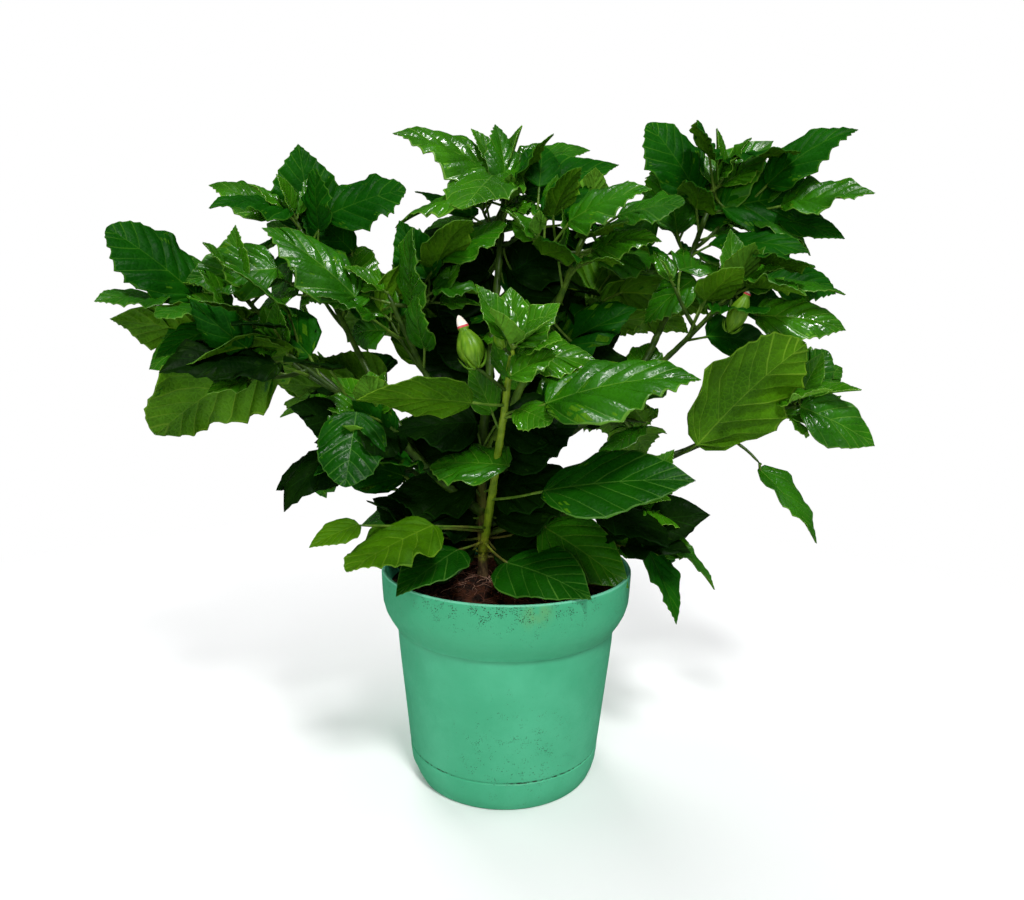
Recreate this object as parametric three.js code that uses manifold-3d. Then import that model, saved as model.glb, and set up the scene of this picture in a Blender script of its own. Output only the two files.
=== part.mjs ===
// A young potted hibiscus shrub in its plastic nursery pot.
//
// Units are millimetres, +Z is up, and the origin is the centre of the pot's flat underside.
// -Y is the side that the plant shows first and +X is to its right.
//
// The pot and its soil are turned round the Z axis. The plant stands on the soil: a short woody
// trunk, tapering limbs that fork from it, and one closed, uneven solid for each mass of leaves,
// drawn out to the tips of its furthest sprays.
import * as THREE from "three";
import { mergeVertices } from "three/addons/utils/BufferGeometryUtils.js";
import Module from "manifold-3d";

const wasm = await Module();
wasm.setup();

// Clearance between neighbouring pieces.
const GAP = 0.3;

// Pot: [radius, height] up the outside, then the wall that follows it on the inside.
const POT_TURN_STEPS = 28;
const POT_WALL = 2.3;
const POT_FLOOR = 2.6;
const POT_RIM_RADIUS = 100;
const POT_HEIGHT = 170;
const POT_LIP = 3;
const POT_OUTSIDE = [
  [70, 0],
  [73.5, 4],
  [76.5, 12],
  [77.6, 25],
  [85.5, 100],
  [88, 121.5],
  [91.5, 127.5],
  [96.5, 136],
  [99.5, 146],
  [POT_RIM_RADIUS, POT_HEIGHT],
];
const DRAIN_HOLES = 6;
const DRAIN_HOLE_RADIUS = 5;
const DRAIN_CIRCLE_RADIUS = 48;
const DRAIN_HOLE_SIDES = 8;

// Soil: flat round the stem and falling a little towards the wall.
const SOIL_TOP = 157;
const SOIL_FLAT_RADIUS = 42;
const SOIL_EDGE_DROP = 5;

// Trunk: from its foot on the soil to its fork.
const FOOT = new THREE.Vector3(-19, 0, SOIL_TOP + GAP);
const FORK = new THREE.Vector3(-23, 12, 252);
const TRUNK_LEAN = new THREE.Vector3(2, -5, 0);
const TRUNK_FOOT_RADIUS = 8;
const TRUNK_FORK_RADIUS = 6;
const TRUNK_FLARE = 6;
const TRUNK_FLARE_SHARE = 0.07;

// Limbs are tubes with this many sides and steps.
const LIMB_SIDES = 6;
const LIMB_STEPS = 4;
const STUB = 10;

// A limb leaves its parent at a share of the parent's length and ends at a heading (degrees from
// +X towards +Y), a reach from the foot and a height above the soil. It sags below the straight
// line by a share of its length, so that it grows outwards first and then turns up.
const LIMBS = [
  { name: "front_shoot", from: "trunk", at: 0.3,
    heading: -74, reach: 78, height: 186, root: 4.2, tip: 2.8, sag: 0.05 },
  { name: "left_bough", from: "trunk", at: 0.6,
    heading: 201, reach: 83, height: 134, root: 4.6, tip: 3.6, sag: 0.1 },
  { name: "left_low_shoot", from: "left_bough", at: 0.96,
    heading: 198, reach: 150, height: 182, root: 3, tip: 2, sag: 0.06 },
  { name: "left_outer_shoot", from: "left_bough", at: 0.82,
    heading: 186, reach: 182, height: 222, root: 3, tip: 2, sag: 0.08 },
  { name: "left_top_shoot", from: "left_bough", at: 0.55,
    heading: 169, reach: 156, height: 284, root: 3.2, tip: 2.2, sag: 0.1 },
  { name: "inner_left_shoot", from: "trunk", at: 0.94,
    heading: 178, reach: 76, height: 226, root: 3.6, tip: 2.2, sag: 0.1 },
  { name: "centre_bough", from: "trunk", at: 0.97,
    heading: 79, reach: 66, height: 322, root: 5.2, tip: 2.8, sag: 0.12 },
  { name: "centre_shoot", from: "trunk", at: 0.97,
    heading: 14, reach: 82, height: 284, root: 4.4, tip: 2.6, sag: 0.12 },
  { name: "right_bough", from: "trunk", at: 0.86,
    heading: 15, reach: 130, height: 160, root: 5, tip: 4, sag: 0.1 },
  { name: "right_top_shoot", from: "right_bough", at: 0.96,
    heading: 16, reach: 194, height: 318, root: 3.6, tip: 2.4, sag: 0.1 },
  { name: "right_mid_shoot", from: "right_bough", at: 0.8,
    heading: 0, reach: 190, height: 232, root: 3.2, tip: 2.2, sag: 0.08 },
  { name: "right_low_bough", from: "trunk", at: 0.5,
    heading: 4, reach: 254, height: 150, root: 4.2, tip: 2.4, sag: 0.05 },
  { name: "right_drooping_stalk", from: "right_low_bough", at: 0.74,
    heading: -1, reach: 218, height: 98, root: 1.6, tip: 1.3, sag: -0.2 },
  { name: "low_right_shoot", from: "trunk", at: 0.42,
    heading: -3, reach: 122, height: 66, root: 2.8, tip: 2, sag: -0.05 },
  { name: "low_left_shoot", from: "trunk", at: 0.5,
    heading: 138, reach: 108, height: 88, root: 3, tip: 2, sag: 0.05 },
  { name: "back_left_bough", from: "trunk", at: 0.88,
    heading: 124, reach: 150, height: 240, root: 4.4, tip: 2.4, sag: 0.12 },
  { name: "back_right_bough", from: "trunk", at: 0.92,
    heading: 52, reach: 168, height: 240, root: 4.6, tip: 2.4, sag: 0.12 },
  { name: "back_low_shoot", from: "trunk", at: 0.66,
    heading: 90, reach: 136, height: 122, root: 3.4, tip: 2.2, sag: 0.08 },
  { name: "back_left_low_shoot", from: "back_left_bough", at: 0.42,
    heading: 146, reach: 172, height: 142, root: 2.8, tip: 2, sag: 0.08 },
  { name: "back_right_low_shoot", from: "back_right_bough", at: 0.42,
    heading: 36, reach: 196, height: 126, root: 2.8, tip: 2, sag: 0.08 },
];

// A mass lies at a share of its limb's length, moved out along its heading and rise by a distance.
// Its size is half its length along the heading, half its width and half its height. Each spray
// is drawn out from its centre at a heading and a rise (falling where it is negative) to a length.
const MASSES = [
  { name: "left_outer_leaves", on: "left_outer_shoot", at: 1, heading: 188, rise: -14, out: 22,
    size: [46, 46, 32],
    sprays: [[178, 8, 72], [190, -18, 74], [192, -42, 62], [160, 42, 42], [268, -8, 60]] },
  { name: "left_top_leaves", on: "left_top_shoot", at: 1, heading: 178, rise: 6, out: 4,
    size: [54, 48, 40],
    sprays: [[150, 72, 52], [0, 16, 92], [190, -15, 68], [180, 27, 60], [320, -38, 96], [88, 4, 70]] },
  { name: "left_low_leaves", on: "left_low_shoot", at: 1, heading: 196, rise: -24, out: 20,
    size: [50, 42, 28], sprays: [[189, -36, 88], [226, -52, 62], [0, 10, 56], [130, 6, 54]] },
  { name: "right_outer_leaves", on: "right_low_bough", at: 1, heading: 8, rise: 0, out: 12,
    size: [34, 36, 24], sprays: [[354, -34, 68], [60, 50, 44], [100, -6, 58]] },
  { name: "right_top_leaves", on: "right_top_shoot", at: 1, heading: 10, rise: -30, out: 8,
    size: [58, 50, 42],
    sprays: [[13, 6, 98], [191, 38, 92], [186, 12, 88], [276, -54, 66], [14, 32, 70], [96, 4, 74]] },
  { name: "centre_top_leaves", on: "centre_bough", at: 1, heading: 0, rise: 0, out: 0,
    size: [50, 46, 38], sprays: [[186, 18, 104], [355, 40, 74], [3, 13, 96], [92, 8, 76], [262, -20, 62]] },
  { name: "right_drooping_leaf", on: "right_drooping_stalk", at: 1, heading: -2, rise: -46, out: 36,
    size: [46, 18, 7], sprays: [[-2, -48, 48]] },
  { name: "low_right_leaves", on: "low_right_shoot", at: 1, heading: -20, rise: -56, out: 34,
    size: [40, 34, 15], sprays: [[-40, -66, 74], [12, -48, 64], [60, 6, 50]] },
  { name: "low_left_leaves", on: "low_left_shoot", at: 1, heading: 166, rise: -26, out: 24,
    size: [42, 40, 22], sprays: [[180, -34, 80], [150, -10, 78], [214, -16, 60]] },
  { name: "front_top_leaves", on: "front_shoot", at: 1, heading: 0, rise: 0, out: 0,
    size: [34, 26, 24], sprays: [[198, -21, 122], [338, -8, 120], [60, 20, 44]] },
  { name: "front_left_leaves", on: "front_shoot", at: 0.5, heading: 230, rise: 2, out: 40,
    size: [44, 24, 8], sprays: [] },
  { name: "front_right_leaves", on: "front_shoot", at: 0.4, heading: 330, rise: 12, out: 58,
    size: [70, 28, 9], sprays: [] },
  { name: "low_front_left_leaves", on: "front_shoot", at: 0.12, heading: 232, rise: -2, out: 58,
    size: [64, 36, 12], sprays: [[224, 2, 80], [244, -20, 60]] },
  { name: "low_front_right_leaves", on: "front_shoot", at: 0.08, heading: 318, rise: 0, out: 54,
    size: [60, 38, 12], sprays: [[350, 16, 60], [306, -16, 58]] },
  { name: "right_mid_leaves", on: "right_mid_shoot", at: 1, heading: 0, rise: 0, out: 0,
    size: [50, 44, 26], sprays: [[0, -18, 86], [184, 12, 86], [276, 6, 60]] },
  { name: "right_broad_leaf", on: "right_low_bough", at: 0.66, heading: 345, rise: 50, out: 46,
    size: [52, 13, 42], sprays: [] },
  { name: "centre_leaves", on: "centre_shoot", at: 1, heading: 0, rise: 0, out: 0,
    size: [44, 42, 28], sprays: [[0, 6, 60], [196, -10, 74], [276, -14, 70]] },
  { name: "inner_left_leaves", on: "inner_left_shoot", at: 1, heading: 0, rise: 0, out: 0,
    size: [44, 42, 28], sprays: [[50, 56, 70], [6, 22, 84], [168, 14, 56]] },
  { name: "hanging_left_leaves", on: "left_bough", at: 0.84, heading: 204, rise: -16, out: 32,
    size: [40, 32, 20], sprays: [[226, -36, 50]] },
  { name: "back_left_leaves", on: "back_left_bough", at: 1, heading: 120, rise: 0, out: 0,
    size: [52, 56, 36], sprays: [[110, 6, 84], [186, 6, 82], [50, 8, 78], [150, 46, 58]] },
  { name: "back_right_leaves", on: "back_right_bough", at: 1, heading: 60, rise: 0, out: 0,
    size: [52, 58, 38], sprays: [[64, 4, 80], [356, 6, 88], [124, 8, 82], [20, 46, 60]] },
  { name: "back_low_leaves", on: "back_low_shoot", at: 1, heading: 92, rise: 0, out: 0,
    size: [42, 60, 28], sprays: [[92, -12, 72], [30, -14, 82], [154, -14, 82]] },
  { name: "back_left_low_leaves", on: "back_left_low_shoot", at: 1, heading: 150, rise: 0, out: 0,
    size: [44, 52, 28], sprays: [[150, -20, 78], [204, -12, 74], [100, -16, 70]] },
  { name: "back_right_low_leaves", on: "back_right_low_shoot", at: 1, heading: 36, rise: 0, out: 0,
    size: [44, 54, 30], sprays: [[36, -20, 78], [346, -14, 78], [84, -18, 70]] },
  { name: "heart_low_leaves", on: "centre_bough", at: 0.24, heading: 20, rise: 0, out: 26,
    size: [62, 48, 26], sprays: [[330, -10, 82], [200, 4, 82]] },
  { name: "heart_mid_leaves", on: "centre_shoot", at: 0.5, heading: 40, rise: 0, out: 10,
    size: [58, 44, 24], sprays: [[310, -8, 72], [60, 6, 70]] },
  { name: "heart_high_leaves", on: "centre_bough", at: 0.62, heading: 0, rise: 0, out: 10,
    size: [72, 48, 26], sprays: [[10, 8, 92], [180, 10, 88]] },
];

// A mass is a ball of facets drawn to its size, with its corners set in and out unevenly. A pad,
// which has one spray at most, is made of fewer facets.
const MASS_DETAIL = 2;
const PAD_DETAIL = 1;
const PAD_SPRAYS = 1;
const MASS_UNEVENNESS = 0.13;
const SPRAY_SPREAD = 0.46;
const MASS_GAP = 0.8;
const SEED = 20611;

const COLOURS = {
  pot: { color: 0x46b082, roughness: 0.55 },
  soil: { color: 0x1f170c, roughness: 0.95 },
  bark: { color: 0x5a4a2a, roughness: 0.85 },
  shoot: { color: 0x587b1a, roughness: 0.6 },
  leaf: { color: 0x225a12, roughness: 0.4 },
};

const radians = THREE.MathUtils.degToRad;
const part = new THREE.Group();
const limbCurves = {};
const limbSolids = [];
const massSolids = [];

// The direction at a heading and a rise, both in degrees.
function direction(heading, rise) {
  const turn = radians(heading);
  const climb = radians(rise);
  const flat = Math.cos(climb);
  return new THREE.Vector3(flat * Math.cos(turn), flat * Math.sin(turn), Math.sin(climb));
}

// A small seeded generator, so that every build is the same.
function seededRandom(seed) {
  let state = seed >>> 0;
  return () => {
    state = (Math.imul(state, 1664525) + 1013904223) >>> 0;
    return state / 4294967296;
  };
}

// Welds a closed geometry and drops the empty triangles at its poles.
function welded(geometry) {
  const bare = geometry.clone();
  bare.deleteAttribute("normal");
  bare.deleteAttribute("uv");
  const merged = mergeVertices(bare, 1e-4);
  const corners = merged.index.array;
  const kept = [];
  for (let i = 0; i < corners.length; i += 3) {
    const [a, b, c] = corners.subarray(i, i + 3);
    if (a !== b && b !== c && c !== a) {
      kept.push(a, b, c);
    }
  }
  merged.setIndex(kept);
  return merged;
}

function solidOf(geometry) {
  const closed = welded(geometry);
  const vertProperties = new Float32Array(closed.attributes.position.array);
  const triVerts = new Uint32Array(closed.index.array);
  return new wasm.Manifold(new wasm.Mesh({ numProp: 3, vertProperties, triVerts }));
}

// The largest piece of a solid, which leaves out the crumbs of a cut.
function largestPiece(solid) {
  const pieces = solid.decompose();
  pieces.sort((a, b) => b.volume() - a.volume());
  return pieces[0];
}

function addPiece(name, solid, look) {
  const { vertProperties, triVerts } = solid.getMesh();
  const geometry = new THREE.BufferGeometry();
  geometry.setAttribute("position", new THREE.BufferAttribute(vertProperties, 3));
  geometry.setIndex(new THREE.BufferAttribute(triVerts, 1));
  geometry.computeVertexNormals();
  const mesh = new THREE.Mesh(geometry, new THREE.MeshStandardMaterial({ ...COLOURS[look], metalness: 0 }));
  mesh.name = name;
  part.add(mesh);
}

// Turns a closed [radius, height] outline round the Z axis.
function turned(outline, steps) {
  const points = outline.map(([radius, height]) => new THREE.Vector2(radius, height));
  const geometry = new THREE.LatheGeometry(points, steps);
  geometry.rotateX(Math.PI / 2);
  return solidOf(geometry);
}

// The inside of the pot from its floor up, a wall's thickness within the outside.
function potInside() {
  const inside = POT_OUTSIDE.slice(1, -1).map(([radius, height]) => [radius - POT_WALL, height]);
  inside[0][1] += POT_FLOOR - inside[0][1];
  return [...inside, [POT_RIM_RADIUS - POT_LIP, POT_HEIGHT]];
}

function insideRadiusAt(height) {
  const inside = potInside();
  const above = inside.findIndex(([, z]) => z >= height);
  const [lowRadius, lowHeight] = inside[above - 1];
  const [highRadius, highHeight] = inside[above];
  const share = (height - lowHeight) / (highHeight - lowHeight);
  return THREE.MathUtils.lerp(lowRadius, highRadius, share);
}

function buildPot() {
  const outline = [[0, 0], ...POT_OUTSIDE, ...potInside().reverse(), [0, POT_FLOOR]];
  let pot = turned(outline, POT_TURN_STEPS);
  for (let i = 0; i < DRAIN_HOLES; i++) {
    const turn = (2 * Math.PI * i) / DRAIN_HOLES;
    const hole = new THREE.CylinderGeometry(
      DRAIN_HOLE_RADIUS, DRAIN_HOLE_RADIUS, 4 * POT_FLOOR, DRAIN_HOLE_SIDES);
    hole.rotateX(Math.PI / 2);
    hole.translate(DRAIN_CIRCLE_RADIUS * Math.cos(turn), DRAIN_CIRCLE_RADIUS * Math.sin(turn), 0);
    pot = pot.subtract(solidOf(hole));
  }
  addPiece("pot", pot, "pot");
}

function buildSoil() {
  const edge = SOIL_TOP - SOIL_EDGE_DROP;
  const wall = potInside().filter(([, height]) => height < edge);
  const side = wall.map(([radius, height]) => [radius - GAP, height]);
  side[0][1] += GAP;
  const outline = [
    [0, side[0][1]],
    ...side,
    [insideRadiusAt(edge) - GAP, edge],
    [SOIL_FLAT_RADIUS, SOIL_TOP],
    [0, SOIL_TOP],
  ];
  addPiece("soil", turned(outline, POT_TURN_STEPS), "soil");
}

// A tapering tube round a curve; radiusAt gives its radius at a share of its length, and grow
// adds clearance all round it.
function limbSolid(curve, radiusAt, grow) {
  const geometry = new THREE.CylinderGeometry(1, 1, 1, LIMB_SIDES, LIMB_STEPS);
  const frames = curve.computeFrenetFrames(LIMB_STEPS);
  const position = geometry.attributes.position;
  for (let i = 0; i < position.count; i++) {
    const share = position.getY(i) + 0.5;
    const step = Math.round(share * LIMB_STEPS);
    const radius = radiusAt(share) + grow;
    const point = curve.getPointAt(share);
    const past = step === 0 ? -grow : step === LIMB_STEPS ? grow : 0;
    point.addScaledVector(frames.tangents[step], past);
    point.addScaledVector(frames.normals[step], radius * position.getX(i));
    point.addScaledVector(frames.binormals[step], -radius * position.getZ(i));
    position.setXYZ(i, point.x, point.y, point.z);
  }
  return solidOf(geometry);
}

function limbTip({ heading, reach, height }) {
  return FOOT.clone().addScaledVector(direction(heading, 0), reach).setZ(SOIL_TOP + height);
}

// Everything below the soil's surface, to cut the trunk off flat.
function ground() {
  const size = 4 * TRUNK_FLARE + 4 * STUB;
  const geometry = new THREE.BoxGeometry(size, size, size);
  geometry.translate(FOOT.x, FOOT.y, FOOT.z - size / 2);
  return solidOf(geometry);
}

function buildTrunk() {
  const start = FOOT.clone().setZ(FOOT.z - STUB);
  const middle = FOOT.clone().lerp(FORK, 0.5).add(TRUNK_LEAN);
  const curve = new THREE.QuadraticBezierCurve3(start, middle, FORK);
  const footShare = STUB / curve.getLength();
  const radiusAt = (share) => {
    const taper = THREE.MathUtils.lerp(TRUNK_FOOT_RADIUS, TRUNK_FORK_RADIUS, share);
    const above = Math.max(share - footShare, 0);
    return taper + TRUNK_FLARE * Math.exp(-above / TRUNK_FLARE_SHARE);
  };
  limbCurves.trunk = curve;
  const solid = limbSolid(curve, radiusAt, 0).subtract(ground());
  limbSolids.push({ name: "trunk", solid, room: limbSolid(curve, radiusAt, GAP) });
}

// Each limb is cut off at the limbs before it, so it starts at the face of its parent.
function buildLimbs() {
  for (const limb of LIMBS) {
    const root = limbCurves[limb.from].getPointAt(limb.at);
    const tip = limbTip(limb);
    const middle = root.clone().lerp(tip, 0.5);
    middle.z -= limb.sag * root.distanceTo(tip);
    const curve = new THREE.QuadraticBezierCurve3(root, middle, tip);
    const radiusAt = (share) => THREE.MathUtils.lerp(limb.root, limb.tip, share);
    limbCurves[limb.name] = curve;
    let solid = limbSolid(curve, radiusAt, 0);
    for (const earlier of limbSolids) {
      solid = solid.subtract(earlier.room);
    }
    limbSolids.push({ name: limb.name, solid: largestPiece(solid), room: limbSolid(curve, radiusAt, GAP) });
  }
}

// A mass's sprays, and the corner that reaches back to its limb where the mass lies out from it.
function drawnOut(mass, along) {
  const sprays = mass.sprays.map(([heading, rise, length]) => ({ ray: direction(heading, rise), length }));
  return mass.out > 0 ? [...sprays, { ray: along.clone().negate(), length: mass.out }] : sprays;
}

// The distance from a mass's centre to its surface: an ellipsoid, drawn out round each spray.
function massReach(ray, [length, width, height], frame, sprays) {
  const along = ray.dot(frame.along) / length;
  const across = ray.dot(frame.across) / width;
  const up = ray.dot(frame.up) / height;
  let reach = 1 / Math.hypot(along, across, up);
  for (const spray of sprays) {
    const away = ray.angleTo(spray.ray) / SPRAY_SPREAD;
    reach = Math.max(reach, spray.length * Math.exp(-away * away));
  }
  return reach;
}

// The solid of a mass; grow adds clearance all round it.
function massSolid(mass, seed, grow) {
  const random = seededRandom(seed);
  const along = direction(mass.heading, mass.rise);
  const across = new THREE.Vector3(0, 0, 1).cross(along).normalize();
  const frame = { along, across, up: along.clone().cross(across) };
  const centre = limbCurves[mass.on].getPointAt(mass.at).addScaledVector(along, mass.out);
  const detail = mass.sprays.length > PAD_SPRAYS ? MASS_DETAIL : PAD_DETAIL;
  const geometry = welded(new THREE.IcosahedronGeometry(1, detail));
  const position = geometry.attributes.position;
  const rays = [];
  for (let i = 0; i < position.count; i++) {
    rays.push(new THREE.Vector3().fromBufferAttribute(position, i).normalize());
  }
  const sprays = drawnOut(mass, along);
  const nearestRay = (aim) => rays.reduce((best, ray) => (ray.dot(aim) > best.dot(aim) ? ray : best));
  const corners = sprays.map((spray) => nearestRay(spray.ray));
  corners.forEach((corner, i) => corner.copy(sprays[i].ray));
  rays.forEach((ray, i) => {
    const swell = corners.includes(ray) ? 1 : 1 + MASS_UNEVENNESS * (2 * random() - 1);
    const reach = massReach(ray, mass.size, frame, sprays) * swell + grow;
    const point = centre.clone().addScaledVector(ray, reach);
    position.setXYZ(i, point.x, point.y, point.z);
  });
  return solidOf(geometry);
}

// A limb ends where it enters the mass at its tip, and every other mass is cut round the limbs.
// Where two masses meet, the later one gives way.
function buildMasses() {
  MASSES.forEach((mass, i) => {
    let solid = massSolid(mass, SEED + i, 0);
    const room = massSolid(mass, SEED + i, MASS_GAP);
    for (const limb of limbSolids) {
      if (limb.name === mass.on && mass.at === 1) {
        limb.solid = largestPiece(limb.solid.subtract(room));
      } else {
        solid = solid.subtract(limb.room);
      }
    }
    for (const earlier of massSolids) {
      solid = solid.subtract(earlier.room);
    }
    massSolids.push({ name: mass.name, solid: largestPiece(solid), room });
  });
}

buildPot();
buildSoil();
buildTrunk();
buildLimbs();
buildMasses();
for (const { name, solid } of limbSolids) {
  addPiece(name, solid, name === "trunk" ? "bark" : "shoot");
}
for (const { name, solid } of massSolids) {
  addPiece(name, solid, "leaf");
}

export default part;
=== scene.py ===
# A young potted hibiscus shrub: a teal plastic nursery pot, its soil, a short woody trunk with
# green shoots, and glossy toothed leaves that grow on stalks from them. Metres, +Z up, with the
# origin at the centre of the pot's underside. -Y is the side that the plant shows first.
import math

import bpy
import numpy as np
from mathutils import Matrix, Vector


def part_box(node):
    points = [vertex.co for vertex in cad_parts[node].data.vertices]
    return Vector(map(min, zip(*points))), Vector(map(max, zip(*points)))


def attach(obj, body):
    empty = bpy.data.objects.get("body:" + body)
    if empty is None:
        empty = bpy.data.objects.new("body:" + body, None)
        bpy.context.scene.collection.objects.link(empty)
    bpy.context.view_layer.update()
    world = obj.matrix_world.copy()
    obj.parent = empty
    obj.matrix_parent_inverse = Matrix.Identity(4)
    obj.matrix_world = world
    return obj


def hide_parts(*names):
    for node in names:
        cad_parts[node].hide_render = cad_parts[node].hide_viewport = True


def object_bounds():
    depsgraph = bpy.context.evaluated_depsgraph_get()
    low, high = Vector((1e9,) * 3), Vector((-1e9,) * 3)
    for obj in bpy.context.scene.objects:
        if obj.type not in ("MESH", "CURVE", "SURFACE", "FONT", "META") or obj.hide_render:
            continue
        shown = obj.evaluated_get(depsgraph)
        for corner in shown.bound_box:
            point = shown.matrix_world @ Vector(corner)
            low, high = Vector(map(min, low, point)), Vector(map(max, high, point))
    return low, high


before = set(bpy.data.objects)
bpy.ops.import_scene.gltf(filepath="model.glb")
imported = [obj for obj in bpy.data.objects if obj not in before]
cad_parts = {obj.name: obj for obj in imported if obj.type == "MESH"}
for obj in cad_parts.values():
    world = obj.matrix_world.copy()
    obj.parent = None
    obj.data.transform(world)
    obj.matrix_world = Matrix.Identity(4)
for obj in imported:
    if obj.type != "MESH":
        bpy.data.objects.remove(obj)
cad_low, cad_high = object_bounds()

MM = 0.001
bpy.context.scene.view_settings.view_transform = "Standard"


# --- Camera, floor and light -----------------------------------------------------------------
# The camera stands at arm's length, a little above the pot's rim, and looks slightly down.
# The floor is plain and pale, and runs out into a pale surround, under soft studio lamps.
CAMERA_PLACE = (0.003, -0.585, 0.347)
CAMERA_TILT = 8.23
CAMERA_ROLL = 0.9
CAMERA_LENS = 26.2

camera_data = bpy.data.cameras.new("camera")
camera_data.lens = CAMERA_LENS
camera_data.sensor_width = 36
camera = bpy.data.objects.new("camera", camera_data)
bpy.context.scene.collection.objects.link(camera)
look_down = Matrix.Rotation(math.radians(90 - CAMERA_TILT), 4, "X")
lean = Matrix.Rotation(math.radians(CAMERA_ROLL), 4, "Z")
camera.rotation_euler = (look_down @ lean).to_euler()
camera.location = CAMERA_PLACE
bpy.context.scene.camera = camera


def soft_lamp(name, place, aim, side, watts, glints=False):
    """A square lamp that faces its aim. Only the one that gives glints shows in gloss."""
    data = bpy.data.lights.new(name, "AREA")
    data.size = side
    data.energy = watts
    lamp = bpy.data.objects.new(name, data)
    lamp.visible_glossy = glints
    bpy.context.scene.collection.objects.link(lamp)
    lamp.location = place
    lamp.rotation_euler = (Vector(aim) - Vector(place)).to_track_quat("-Z", "Y").to_euler()


PLANT_MIDDLE = (0, 0, 0.33)
soft_lamp("key_lamp", (0.3, -1.0, 1.5), PLANT_MIDDLE, 0.3, 20, glints=True)
soft_lamp("front_lamp", (-0.5, -1.9, 0.65), PLANT_MIDDLE, 0.9, 14)
soft_lamp("top_lamp", (-0.4, 0.5, 1.9), PLANT_MIDDLE, 0.9, 9)
soft_lamp("back_lamp", (-0.8, 1.7, 1.1), PLANT_MIDDLE, 1.2, 28)
soft_lamp("right_lamp", (1.9, 0.4, 1.0), PLANT_MIDDLE, 1.2, 12)
soft_lamp("left_lamp", (-1.9, 0.4, 1.0), PLANT_MIDDLE, 1.2, 9)

world = bpy.data.worlds.new("surround")
bpy.context.scene.world = world
world.use_nodes = True
sky = world.node_tree
# The surround lights the plant softly, looks white to the camera and stays dim in gloss.
sky_ray = sky.nodes.new("ShaderNodeLightPath")
sky_light = sky.nodes["Background"]
sky_light.inputs["Color"].default_value = (0.9, 0.95, 1, 1)
sky_light.inputs["Strength"].default_value = 0.13


def sky_layer(under, ray, strength):
    """The surround with another strength where a ray of that kind meets it."""
    layer = sky.nodes.new("ShaderNodeBackground")
    layer.inputs["Color"].default_value = (1, 1, 1, 1)
    layer.inputs["Strength"].default_value = strength
    mix = sky.nodes.new("ShaderNodeMixShader")
    sky.links.new(sky_ray.outputs[ray], mix.inputs["Fac"])
    sky.links.new(under, mix.inputs[1])
    sky.links.new(layer.outputs["Background"], mix.inputs[2])
    return mix.outputs["Shader"]


sky_seen = sky_layer(sky_light.outputs["Background"], "Is Glossy Ray", 0.04)
sky_seen = sky_layer(sky_seen, "Is Camera Ray", 1)
sky.links.new(sky_seen, sky.nodes["World Output"].inputs["Surface"])


def add_node(tree, kind, **settings):
    """A node with its settings, and its inputs by name."""
    node = tree.nodes.new(kind)
    inputs = settings.pop("inputs", {})
    for key, value in settings.items():
        setattr(node, key, value)
    for key, value in inputs.items():
        node.inputs[key].default_value = value
    return node


def clamp_range(tree, value, low, high, to_low=0.0, to_high=1.0):
    """Maps a value from low..high to to_low..to_high, smoothly and no further."""
    node = add_node(tree, "ShaderNodeMapRange", interpolation_type="SMOOTHSTEP", inputs={
        "From Min": low, "From Max": high, "To Min": to_low, "To Max": to_high})
    tree.links.new(value, node.inputs["Value"])
    return node.outputs["Result"]


def times(tree, a, b):
    """One mask times another, or a number."""
    node = add_node(tree, "ShaderNodeMath", operation="MULTIPLY")
    tree.links.new(a, node.inputs[0])
    if isinstance(b, (int, float)):
        node.inputs[1].default_value = b
    else:
        tree.links.new(b, node.inputs[1])
    return node.outputs["Value"]


def start_material(name, roughness, **values):
    """A new material with its tree, its shader and the piece's own coordinates."""
    made = bpy.data.materials.new(name)
    made.use_nodes = True
    tree = made.node_tree
    shader = tree.nodes["Principled BSDF"]
    shader.inputs["Roughness"].default_value = roughness
    for key, value in values.items():
        shader.inputs[key.replace("_", " ")].default_value = value
    place = add_node(tree, "ShaderNodeTexCoord").outputs["Object"]
    return made, tree, shader, place


bpy.ops.object.select_all(action="DESELECT")
bpy.ops.mesh.primitive_circle_add(vertices=96, radius=12, fill_type="NGON", location=(0, 0, 0))
floor = bpy.context.active_object
floor.name = "floor"
floor_paint, paint, floor_shader, spot = start_material("floor_paint", 0.9, Specular_IOR_Level=0.1)
floor_shader.inputs["Base Color"].default_value = (0.93, 0.93, 0.93, 1)
# Far from the plant the floor fades into the surround, so that no edge shows behind it.
FADE_START = 0.2
FADE_END = 0.95
distance = add_node(paint, "ShaderNodeVectorMath", operation="LENGTH")
paint.links.new(spot, distance.inputs[0])
far = clamp_range(paint, distance.outputs["Value"], FADE_START, FADE_END)
seen_far = times(paint, far, add_node(paint, "ShaderNodeLightPath").outputs["Is Camera Ray"])
glow = add_node(paint, "ShaderNodeEmission")
floor_mix = add_node(paint, "ShaderNodeMixShader")
paint.links.new(seen_far, floor_mix.inputs["Fac"])
paint.links.new(floor_shader.outputs["BSDF"], floor_mix.inputs[1])
paint.links.new(glow.outputs["Emission"], floor_mix.inputs[2])
paint.links.new(floor_mix.outputs["Shader"], paint.nodes["Material Output"].inputs["Surface"])
floor.data.materials.append(floor_paint)
floor.visible_glossy = False


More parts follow.
